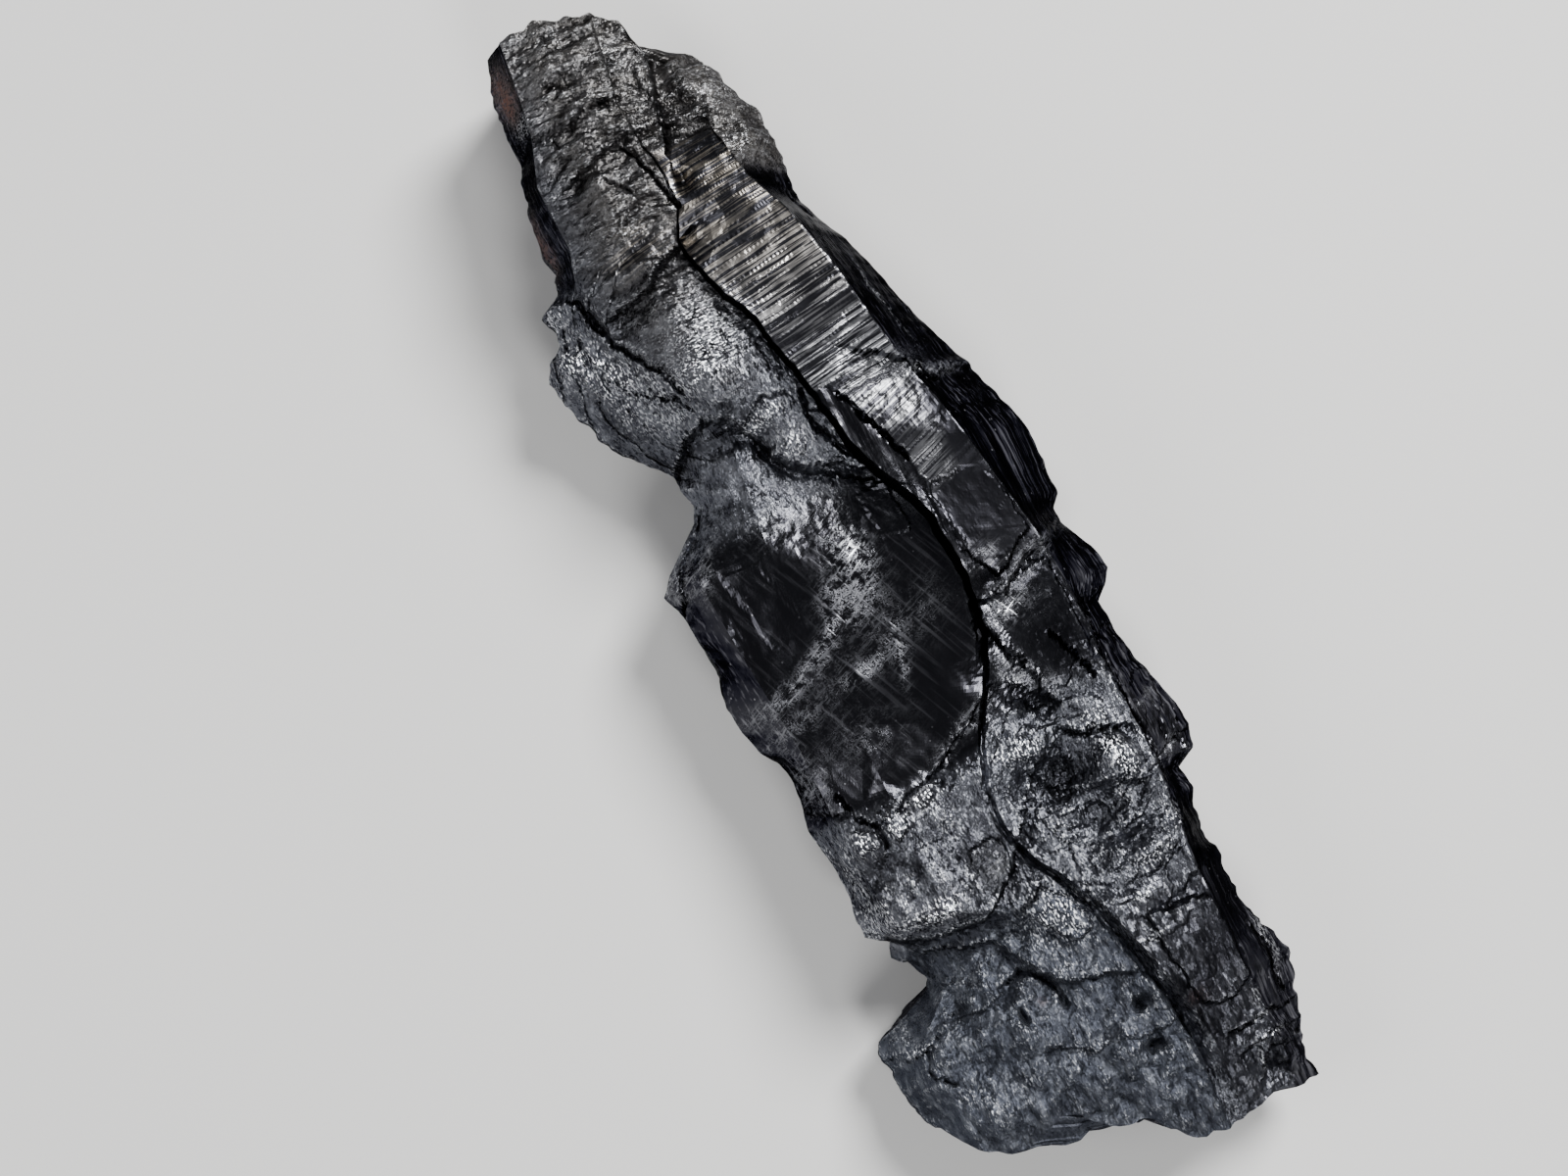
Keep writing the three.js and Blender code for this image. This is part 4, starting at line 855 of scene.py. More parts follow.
@dataclass
class Relief:
    """Works out the front's relief and its masks from places seen from above.

    Attributes:
        grain_height: Height of the coarse broken facets.
        smooth_share: Share of that height that a smooth face keeps.
        wander: How far ledges, plates and cracks wander from their drawn paths.
        wander_size: Size of the bends in which they wander.
        line_spacing: Distance between the steps of the cross striations.
        line_height: Height of the highest of those steps.
        dull_line_share: Share of that height where the striations don't shine.
        left_fibre: Height of the fibres on the left.
        right_fibre: Height of the fibres on the right.
        break_share: Share of the grain's height on a fresh break.
        bulge_share: What the bulge and the lump beside it add to that share.
        foot_share: Share of the grain's height on the foot.
        masks: Each mask's values on the front, once zones has run.
    """

    grain_height: float = 1.5
    smooth_share: float = 0.08
    wander: float = 0.1
    wander_size: float = 0.9
    line_spacing: float = 0.39
    line_height: float = 0.035
    dull_line_share: float = 0.2
    left_fibre: float = 0.03
    right_fibre: float = 0.12
    break_share: float = 0.42
    bulge_share: float = 0.25
    foot_share: float = 0.8
    masks: dict[Mask, Array] = field(default_factory=dict)

    def form(self, s: Surface) -> Array:
        """The large forms: lumps, ledges, plates, cracks and coarse broken facets, added up.

        Args:
            s: Places on the front.

        Returns:
            The height that the large forms add, in millimetres.
        """
        x, y = self.wandered(s.x, s.y)
        z = total(LUMPS, x, y) + total(PLATES, x, y) - total(LEDGES, x, y) - total(LARGE_CRACKS, x, y)
        share = np.minimum(1.0, self.smooth_share + total(COARSE_GRAIN, x, y))
        return z + self.grain_height * share * total(COARSE_FACETS, s.x, s.y)

    def wandered(self, x: Array, y: Array) -> tuple[Array, Array]:
        """Shifts places a little, so that drawn paths come out ragged as broken crystal is.

        The shift is a coarse soft noise plus as much again of broken facets that are finer.

        Args:
            x: Places.
            y: Places.

        Returns:
            The shifted x and y.
        """
        across, along = (
            soft_noise(x / self.wander_size, y / self.wander_size, seed)
            + Facets(2.0, 0.4, 0.5, seed + 1).at(x, y)
            for seed in (41, 46)
        )
        return x + self.wander * across, y + self.wander * along

    def zones(self, s: Surface) -> None:
        """Fills the masks of the front from its strips, its spans and the drawn bells.

        Args:
            s: Places on the front.
        """
        x, y = self.wandered(s.x, s.y)
        on_left = (s.strip <= Strip.LEFT_LIP.value).astype(float)
        on_lip = (s.strip == Strip.RIGHT_LIP.value).astype(float)
        on_face = (s.strip == Strip.STRIATED_FACE.value).astype(float)
        on_side = (s.strip == Strip.RIGHT_SIDE.value).astype(float)
        on_rim = (s.strip == Strip.LEFT_SIDE.value).astype(float)

        blade = on_face * within(BLADE_SPAN, y) * ramp(side_distance(DARK_BLADE, x, y), -0.04, 0.04)
        striated = on_face * within(STRIATED_SPAN, y) * (1.0 - blade)
        striated = np.clip(np.maximum(striated, total(STRIATED_PATCHES, x, y)), 0.0, 1.0)
        middle = on_left * within(PLATE_SPAN, y)
        side = on_side * ramp(y, *SIDE_START)
        tip_side = on_rim * ramp(y, *TIP_RIM_START)
        column = np.maximum(on_face, on_side) * ramp(y, *COLUMN_START)
        below_blade = on_face * within(BELOW_BLADE_SPAN, y)
        lip = 0.9 * on_lip * within(LIP_SPAN, y)
        cleavage = np.maximum.reduce([
            middle, side, blade, lip, 0.8 * tip_side, 0.6 * column, 0.85 * below_blade,
        ])
        cleavage = np.clip(cleavage - 0.8 * total(STRIATED_PATCHES, x, y), 0.0, 1.0)
        # Painted shade: the drawn dark bells, the seam and the cracks, and a little on the right lip.
        shade = np.maximum.reduce([total(PAINTED_SHADES, x, y), self.crack_shade(x, y), 0.2 * lip])
        self.masks = {
            Mask.STRIATION: striated,
            Mask.SHINE: np.where(on_face * ramp(y, *STRIATED_SPAN[0]) > 0.5, self.shine(x, y), 0.45),
            Mask.SLANT: ramp(y, *LINES_TURN),
            Mask.CLEAVAGE: np.where(striated > cleavage, 0.0, cleavage),
            Mask.FIBRE: np.maximum.reduce([side, tip_side, column, blade]),
            Mask.PLATE: middle,
            Mask.FOOT: np.maximum(on_left * ramp(y, *FOOT_START), 0.3 * column),
            Mask.WARM: 0.9 * ramp(y, 9.0, 19.0) * ramp(x, -7.5, -4.0),
            Mask.RUST: np.clip(total(RUST_STAINS, x, y), 0.0, 1.0),
            Mask.SCUFF: np.clip(total(SCUFFS, x, y), 0.0, 1.0),
            Mask.LIGHT: np.clip(total(PAINTED_HIGHLIGHTS, x, y), 0.0, 1.0),
            Mask.SHADE: np.clip(shade, 0.0, 1.0),
            Mask.GRAIN: np.clip(1.0 - cleavage - striated, 0.0, 1.0),
        }

    @staticmethod
    def shine(x: Array, y: Array) -> Array:
        """The painted highlight of the cross striations, how bright they are painted: the drawn shine, made
        uneven, and less at the low right.

        Args:
            x: Places.
            y: Places.

        Returns:
            The shine from 0 to 1.
        """
        along = y - LINE_SLOPE * x
        shine = np.interp(along, *np.array(SHINE).T) * (1.0 + 0.5 * soft_noise(x / 1.1, along / 0.5, 51))
        return np.clip(shine * mix(1.0, ramp(x, 3.9, 3.1), ramp(y, 8.0, 7.4)), 0.0, 1.0)

    @staticmethod
    def crack_shade(x: Array, y: Array) -> Array:
        """The painted shade of the seam, the groove beside its lower end and the cracks: how dark they are
        painted.

        The seam's line falls off as a bell, and each crack as the square of its depth.

        Args:
            x: Places.
            y: Places.

        Returns:
            The shade from 0 to 1.
        """
        seam = side_distance(tuple((x0, y0) for y0, x0 in SEAM), x, y)
        line = np.exp(-((seam / 0.1) ** 2)) * within(DARK_SEAM_SPAN, y)
        wide = 0.35 + 1.4 * ramp(y, -14.5, -19.5)
        groove = ramp(seam, -0.2, 0.2) * ramp(seam / wide, 1.0, 0.4) * ramp(y, *GROOVE_START)
        cracks = np.maximum.reduce([crack.share(x, y) ** 2 for crack in LARGE_CRACKS + HAIRLINES])
        return np.maximum.reduce([0.6 * line, 0.4 * groove, 0.7 * cracks])

    def detail(self, s: Surface) -> Array:
        """The small forms, each where its mask is: striations, fibres, crenulations, terraces and grain.

        Args:
            s: Places on the front.

        Returns:
            The height that the small forms add, in millimetres.
        """
        x, y = self.wandered(s.x, s.y)
        z = total(SMALL_PLATES, x, y) + total(SMALL_LUMPS, x, y)
        z -= total(SMALL_LEDGES, x, y) + total(HAIRLINES, x, y) + total(PITS, x, y)
        m = self.masks
        right = (s.strip >= Strip.RIGHT_LIP.value).astype(float)
        column = right * ramp(s.y, *SPLINTERS_START)
        z += m[Mask.STRIATION] * mix(self.dull_line_share, 1.0, m[Mask.SHINE]) * self.striations(s.x, s.y)
        fibre = (1.0 - column) * mix(self.left_fibre, self.right_fibre, right)
        z += m[Mask.FIBRE] * fibre * FIBRE_RIBS.at(s.x, s.y)
        c, n = math.cos(PLATE_TURN), math.sin(PLATE_TURN)
        z += m[Mask.PLATE] * PLATE_RIBS.at(s.x * c + s.y * n, s.y * c - s.x * n)
        z += m[Mask.CLEAVAGE] * CLEAVAGE_WAVES.at(s.x, s.y)
        z += m[Mask.GRAIN] * ramp(s.y, *TIP_GRAIN_START) * self.crenulations(s.x, s.y)
        z += (1.0 - right) * self.onion(s.x, s.y)
        z += right * within(SWIRL_SPAN, s.y) * self.terraces(s.x, s.y)
        z += column * total(SPLINTERS, s.x, s.y)
        rough = self.break_share + self.bulge_share * within(BULGE_SPAN, s.y)
        z += m[Mask.GRAIN] * mix(rough, self.foot_share, m[Mask.FOOT]) * total(GRAIN_FACETS, s.x, s.y)
        return z

    def striations(self, x: Array, y: Array) -> Array:
        """Low steps across the crystal that rise to the right.

        A saw tooth runs along a tilted line. Each tooth has its own height, which changes along the tooth.

        Args:
            x: Places.
            y: Places.

        Returns:
            The height in millimetres.
        """
        slope = mix(LINE_SLOPE, LOW_LINE_SLOPE, ramp(y, *LINES_TURN))
        along = (y - slope * x + 0.2 * soft_noise(x / 2.5, y / 2.5, 71)) / self.line_spacing
        tooth = np.floor(along)
        height = lattice_value(tooth, np.floor(x / 1.4 + 3.0 * lattice_value(tooth, 0 * tooth, 72)), 73)
        wave = 0.04 * soft_noise(x / 3.0, y / 0.9, 70)
        return 2.0 * self.line_height * height * (along - tooth - 0.5) + wave

    @staticmethod
    def crenulations(x: Array, y: Array) -> Array:
        """Wrinkles across the tip: broken facets about three times as wide as long, on gently bent lines."""
        return total(WRINKLES, x, y + 0.35 * soft_noise(x / 1.6, y / 1.6, 74))

    @staticmethod
    def onion(x: Array, y: Array) -> Array:
        """Layers round the smooth bulge: a saw tooth of the distance from its middle, on its left and below.

        Args:
            x: Places.
            y: Places.

        Returns:
            The height in millimetres.
        """
        away = np.hypot(x + 3.8, 0.8 * (y - 12.9)) + 0.3 * soft_noise(x / 1.2, y / 1.2, 63)
        step = away / 0.62
        layer = np.floor(step)
        where = ramp(away, 1.9, 2.5) * within(LAYERED_SPAN, y) * ramp(x, -3.2, -4.4)
        return 0.14 * where * (0.5 + layer - step) * (1.0 + 0.5 * lattice_value(layer, 0 * layer, 64))

    @staticmethod
    def terraces(x: Array, y: Array) -> Array:
        """Crescent steps round a hollow: a saw tooth of the distance from its middle, with noise added.

        Args:
            x: Places.
            y: Places.

        Returns:
            The height in millimetres.
        """
        away = np.hypot(x - 2.6, 0.9 * (y + 9.4)) + 0.7 * soft_noise(x / 1.2, y / 1.2, 77)
        step = away / 0.9
        return 0.12 * (step - np.floor(step) - 0.5)


@dataclass
class Crystal:
    """The stibnite crystal: one closed surface with its masks.

    Attributes:
        rows: Grid steps from foot to tip.
        wall_steps: Grid steps down each side wall.
        back_steps: Grid steps across the back.
        cap_rings: Rings that close each broken end.
        wall_draw_in: Share of the half width by which the back is narrower than the front.
        wall_roughness: How far that share wanders along a wall, where 1 is the whole of it.
        end_draw_in: Share of the half length by which the back is shorter than the front.
        end_edge_reach: How far the jagged line of an end edge is felt up the length.
        end_lift: How far the two ends of the back are clear of the floor.
        end_lift_reach: How far from the ends that is felt.
        back_step_x: To the right of this line the back is one cleavage layer higher.
        back_step_height: The thickness of that layer.
        back_edge_height: Up to this height the walls share the back's lift.
        cap_relief: Height of the soft waves on the broken ends.
        cap_grain: Size of those waves.
        hollow_depth: A place this far below its wider neighbourhood gets the full painted shade.
        edge_height: A place this far above its close neighbourhood is a full edge, and gets an edge's full
            painted highlight.
        relief: The front's relief and masks.
    """

    rows: int = 396
    wall_steps: int = 12
    back_steps: int = 14
    cap_rings: int = 10
    wall_draw_in: float = 0.2
    wall_roughness: float = 0.3
    end_draw_in: float = 0.03
    end_edge_reach: float = 2.4
    end_lift: float = 0.7
    end_lift_reach: float = 3.5
    back_step_x: float = 3.1
    back_step_height: float = 0.45
    back_edge_height: float = 1.5
    cap_relief: float = 0.45
    cap_grain: float = 1.4
    hollow_depth: float = 0.6
    edge_height: float = 0.1
    relief: Relief = field(default_factory=Relief)

    def origin(self) -> Array:
        """The place in the drawing that is the frame's origin: under the middle of the outline's box."""
        x = (min(x for _, x in LEFT_RIM) + max(x for _, x in RIGHT_RIM)) / 2.0
        y = (min(y for _, y in FOOT_EDGE) + max(y for _, y in TIP_EDGE)) / 2.0
        return np.array([x, y, 0.0])

    def plain_loops(self) -> tuple[Array, Surface, Array]:
        """The plain surface: faces stretched between the rails, walls drawn in downwards, and a flat back.

        Returns:
            The points (rows + 1, around, 3), the places and strips, and how far down the wall each is (0 on
            the front, 1 on the back).
        """
        share = np.linspace(0.0, 1.0, self.rows + 1)
        rails = [rail.at(share) for rail in RAILS]
        left, right, seam = rails[0], rails[-1], rails[Strip.RIGHT_LIP.value]
        self.crumble(left, 21, (7.0, 11.0))
        self.crumble(right, 31, (15.0, 19.0))
        wander = 0.1 * jagged(seam[:, 1], 51)
        for rail in rails[Strip.LEFT_LIP.value : Strip.STRIATED_FACE.value + 1]:
            rail[:, 0] += wander
        middle = np.zeros_like(left)
        middle[:, 0] = (left[:, 0] + right[:, 0]) / 2.0
        middle[:, 1] = (TIP_EDGE[0][1] + FOOT_EDGE[0][1]) / 2.0

        # Each line: its points, its strip, how far across that, and how far down the wall.
        lines = [
            (mix(rails[k], rails[k + 1], i / rail.steps), k, i / rail.steps, 0.0)
            for k, rail in enumerate(RAILS)
            for i in range(rail.steps)
        ]
        lines.append((right, Strip.RIGHT_SIDE.value, 1.0, 0.0))
        steps_down = [i / self.wall_steps for i in range(1, self.wall_steps + 1)]
        right_wall = [self.wall(right, middle, down, 5) for down in steps_down]
        left_wall = [self.wall(left, middle, down, 6) for down in steps_down]
        lines += [(wall, OFF_FRONT, 0.0, down) for wall, down in zip(right_wall, steps_down)]
        for across in (i / self.back_steps for i in range(1, self.back_steps + 1)):
            lines.append((mix(right_wall[-1], left_wall[-1], across), OFF_FRONT, across, 1.0))
        lines += [(wall, OFF_FRONT, 1.0, down) for wall, down in list(zip(left_wall, steps_down))[-2::-1]]

        columns, strips, acrosses, downs = zip(*lines)
        points = np.stack(columns, axis=1)
        shape = points.shape[:2]
        points[..., 1] += self.end_shift(points)
        surface = Surface(
            x=points[..., 0],
            y=points[..., 1],
            z=points[..., 2],
            strip=np.broadcast_to(np.array(strips), shape),
            across=np.broadcast_to(np.array(acrosses), shape),
        )
        return points, surface, np.broadcast_to(np.array(downs), shape)

    @staticmethod
    def crumble(rim: Array, seed: int, upper: tuple[float, float]) -> None:
        """Makes a rim ragged: by up to a quarter of a millimetre where it is broken, and less elsewhere.

        Args:
            rim: The rim's points, changed in place.
            seed: Which noise.
            upper: Where the rim's upper broken stretch begins, and where it is fully broken.
        """
        y = rim[:, 1]
        broken = np.maximum(ramp(y, -10.0, -14.0), ramp(y, *upper))
        rim[:, 0] += (0.07 + 0.17 * broken) * jagged(y, seed)
        rim[:, 2] += 0.3 * jagged(y * 0.7, seed + 5)

    def wall(self, rim: Array, middle: Array, down: float, seed: int) -> Array:
        """One line of a side wall.

        The line goes from the rim towards the middle by an eased share, which soft noise makes wander, and
        its height falls in proportion.

        Args:
            rim: The rim's points.
            middle: The crystal's middle line.
            down: Share of the way down, from 0 at the rim to 1 at the back.
            seed: Which wall's noise.

        Returns:
            The line's points.
        """
        wander = self.wall_roughness * soft_noise(rim[:, 1] / 2.3, np.full(len(rim), 1.7 * down), seed)
        drawn = float(smooth_step(down)) + wander * math.sin(math.pi * down)
        x = mix(rim[:, 0], middle[:, 0], self.wall_draw_in * drawn)
        y = mix(rim[:, 1], middle[:, 1], self.end_draw_in * drawn)
        return np.stack([x, y, rim[:, 2] * (1.0 - down)], axis=-1)

    def end_shift(self, points: Array) -> Array:
        """How far the jagged lines of the two broken ends move each point along the crystal.

        A point's own line ends at the foot and at the tip. The gap there to the drawn edge is felt up the
        line with an eased fall.

        Args:
            points: The plain points.

        Returns:
            The shift along Y of each point.
        """
        shift = np.zeros(points.shape[:2])
        for edge, end, sign in ((FOOT_EDGE, points[0], 1.0), (TIP_EDGE, points[-1], -1.0)):
            drawn = np.interp(end[:, 0], *np.array(edge).T)
            gap = drawn - end[:, 1] + 0.32 * jagged(end[:, 0] * 0.7, 36)
            distance = sign * (points[..., 1] - end[:, 1])
            shift = shift + gap * (1.0 - smooth_step(distance / self.end_edge_reach))
        return shift

    def worked_loops(self) -> tuple[Array, dict[Mask, Array]]:
        """The surface with all its relief, and its masks.

        The front moves straight up and down. The walls and the back move along the plain surface's normals,
        and a wall shares its rim's relief less and less on the way down.

        Returns:
            The points (rows + 1, around, 3) and the masks.
        """
        points, s, down = self.plain_loops()
        front = s.strip != OFF_FRONT
        self.relief.zones(s)
        height = self.relief.form(s) + self.relief.detail(s)
        normals = grid_normals(points)
        last = int(front[0].sum()) - 1
        rim = np.where(s.x > s.x.mean(), height[:, last : last + 1], height[:, :1])
        points[..., 2] += np.where(front, height, rim * (1.0 - down) ** 2)
        lift = self.back_lift(points, s)
        on_wall = (down > 0.0) & (down < 1.0)
        layers = total(WALL_LAYERS, s.y, s.z) * np.sin(np.pi * down) ** 0.5
        points += np.where(on_wall, layers, 0.0)[..., None] * normals
        worn = 0.1 + BACK_WEAR.at(s.x, s.y) + 0.05 * soft_noise(s.x / 0.5, s.y / 0.5, 98)
        inner = ramp(np.abs(s.across - 0.5), 0.5, 0.42)
        points[..., 2] += lift + np.where(down >= 1.0, 0.5 * inner * np.maximum(0.0, worn), 0.0)
        masks = self.all_masks(s)
        self.shade_hollows(points[..., 2], masks)
        return points, masks

    def back_lift(self, points: Array, s: Surface) -> Array:
        """How far the bottom is clear of the floor: near both ends, and to the right of the cleavage step.

        Args:
            points: The points, as far as they are worked.
            s: Their plain places.

        Returns:
            The lift of each point.
        """
        from_end = np.minimum(s.y - s.y[:1], s.y[-1:] - s.y)
        ends = self.end_lift * (1.0 - smooth_step(from_end / self.end_lift_reach))
        ragged = self.back_step_x + 0.3 * soft_noise(s.y / 1.3, 0 * s.y, 99)
        step = self.back_step_height * ramp(s.x, ragged - 0.1, ragged + 0.1)
        low = np.maximum(0.0, 1.0 - points[..., 2] / self.back_edge_height)
        return np.where(s.strip != OFF_FRONT, 0.0, (ends + step) * low)

    def all_masks(self, s: Surface) -> dict[Mask, Array]:
        """The masks of the whole surface: the front's own, and layered fibres on the walls and the back.

        Args:
            s: The plain places.

        Returns:
            Each mask's values.
        """
        patchy = ramp(soft_noise(s.y / 4.0, s.z / 2.0 + s.x / 4.0, 96), -0.3, 0.3)
        stained = ramp(s.y, 17.5, 18.5) * ramp(s.x, -4.0, -6.0) * ramp(soft_noise(s.y, s.z, 94), 0.2, 0.7)
        nothing = np.zeros(s.x.shape)
        elsewhere = {
            Mask.CLEAVAGE: 0.45 + 0.5 * patchy,
            Mask.FIBRE: nothing + 1.0,
            Mask.GRAIN: 0.8 - 0.6 * patchy,
            Mask.FOOT: ramp(s.y, -12.0, -15.0) * ramp(s.x, 3.0, 1.0),
            Mask.WARM: 0.5 * ramp(s.y, 8.0, 20.0),
            Mask.RUST: 0.6 * stained,
        }
        front = s.strip != OFF_FRONT
        return {
            mask: np.where(front, self.relief.masks[mask], elsewhere.get(mask, nothing)) for mask in Mask
        }

    def shade_hollows(self, z: Array, masks: dict[Mask, Array]) -> None:
        """Paints shade into hollows and paints highlights on sharp edges, by comparing a point with its
        neighbourhood's average.

        Args:
            z: The points' heights.
            masks: The masks, of which two are changed.
        """
        hollow = np.clip((box_average(z, 7) - z) / self.hollow_depth, 0.0, 1.0)
        edge = np.clip((z - box_average(z, 2)) / self.edge_height, 0.0, 1.0)
        smooth = np.minimum(1.0, masks[Mask.CLEAVAGE] + masks[Mask.STRIATION])
        masks[Mask.SHADE] = np.maximum(masks[Mask.SHADE], 0.42 * hollow)
        masks[Mask.LIGHT] = np.maximum(masks[Mask.LIGHT], mix(0.38, 0.06, smooth) * edge)

    def build(self) -> bpy.types.Object:
        """Makes the crystal's mesh: the loops, the two broken ends, and a point in the middle of each end.

        Returns:
            The crystal's object, with its masks as point attributes.
        """
        loops, masks = self.worked_loops()
        foot_rings, foot_centre = self.cap(loops[0], -1.0)
        tip_rings, tip_centre = self.cap(loops[-1], 1.0)
        grid = np.concatenate([foot_rings[::-1], loops, tip_rings])
        around = grid.shape[1]
        vertices = np.concatenate([grid.reshape(-1, 3), foot_centre[None], tip_centre[None]])
        vertices = (vertices - self.origin()) * MM
        index = np.arange(grid.shape[0] * around).reshape(grid.shape[0], around)
        ahead = np.roll(index, -1, axis=1)
        quads = np.stack([index[:-1], ahead[:-1], ahead[1:], index[1:]], axis=-1).reshape(-1, 4)
        foot_fan = np.stack([np.full(around, len(vertices) - 2), ahead[0], index[0]], axis=-1)
        tip_fan = np.stack([np.full(around, len(vertices) - 1), index[-1], ahead[-1]], axis=-1)
        mesh = bpy.data.meshes.new("stibnite_crystal")
        mesh.from_pydata(vertices.tolist(), [], quads.tolist() + foot_fan.tolist() + tip_fan.tolist())
        mesh.update()
        for mask, values in masks.items():
            spread = np.pad(values, ((self.cap_rings, self.cap_rings), (0, 0)), mode="edge")
            flat = np.concatenate([spread.ravel(), [values[0].mean(), values[-1].mean()]])
            layer = mesh.attributes.new(mask.value, "FLOAT", "POINT")
            layer.data.foreach_set("value", flat.astype(np.float32))
        crystal = bpy.data.objects.new("stibnite_crystal", mesh)
        bpy.context.scene.collection.objects.link(crystal)
        LOG.info("crystal: %d vertices, %d faces", len(mesh.vertices), len(mesh.polygons))
        return crystal

    def cap(self, loop: Array, outward: float) -> tuple[Array, Array]:
        """The broken face of an end: rings that shrink to its middle, pushed in and out by broken facets.

        Args:
            loop: The end loop's points.
            outward: 1 at the tip and -1 at the foot.

        Returns:
            The rings (cap_rings, around, 3) from the outside in, and the middle point.
        """
        centre = loop.mean(axis=0)
        t = (np.arange(1, self.cap_rings + 1) / (self.cap_rings + 1))[:, None, None]
        rings = mix(loop[None], centre, t)
        x, z = rings[..., 0], rings[..., 2]
        rough = self.cap_relief * soft_noise(x / self.cap_grain, z / self.cap_grain, 9) + END_FACETS.at(x, z)
        rings[..., 1] += outward * rough * np.minimum(1.0, 2.5 * t[..., 0])
        return rings, centre


def box_average(values: Array, reach: int) -> Array:
    """The average over a square neighbourhood, as the average along each axis in turn.

    Args:
        values: A grid that closes on itself along its second axis.
        reach: Steps each way.

    Returns:
        The averages, on the same grid.
    """
    around = np.concatenate([values[:, -reach:], values, values[:, :reach]], axis=1)
    sums = np.cumsum(np.pad(around, ((0, 0), (1, 0))), axis=1)
    across = (sums[:, 2 * reach + 1 :] - sums[:, : -(2 * reach + 1)]) / (2 * reach + 1)
    padded = np.pad(across, ((reach, reach), (0, 0)), mode="edge")
    sums = np.cumsum(np.pad(padded, ((1, 0), (0, 0))), axis=0)
    return (sums[2 * reach + 1 :] - sums[: -(2 * reach + 1)]) / (2 * reach + 1)


def grid_normals(points: Array) -> Array:
    """Outward normals of a grid that closes on itself along its second axis.

    Each is the cross product of the steps to the neighbours round the crystal and along it.

    Args:
        points: The grid's points.

    Returns:
        Unit normals on the same grid.
    """
    round_step = np.roll(points, -1, axis=1) - np.roll(points, 1, axis=1)
    along_step = np.gradient(points, axis=0)
    normals = np.cross(round_step, along_step)
    return normals / np.maximum(np.linalg.norm(normals, axis=-1, keepdims=True), 1e-9)


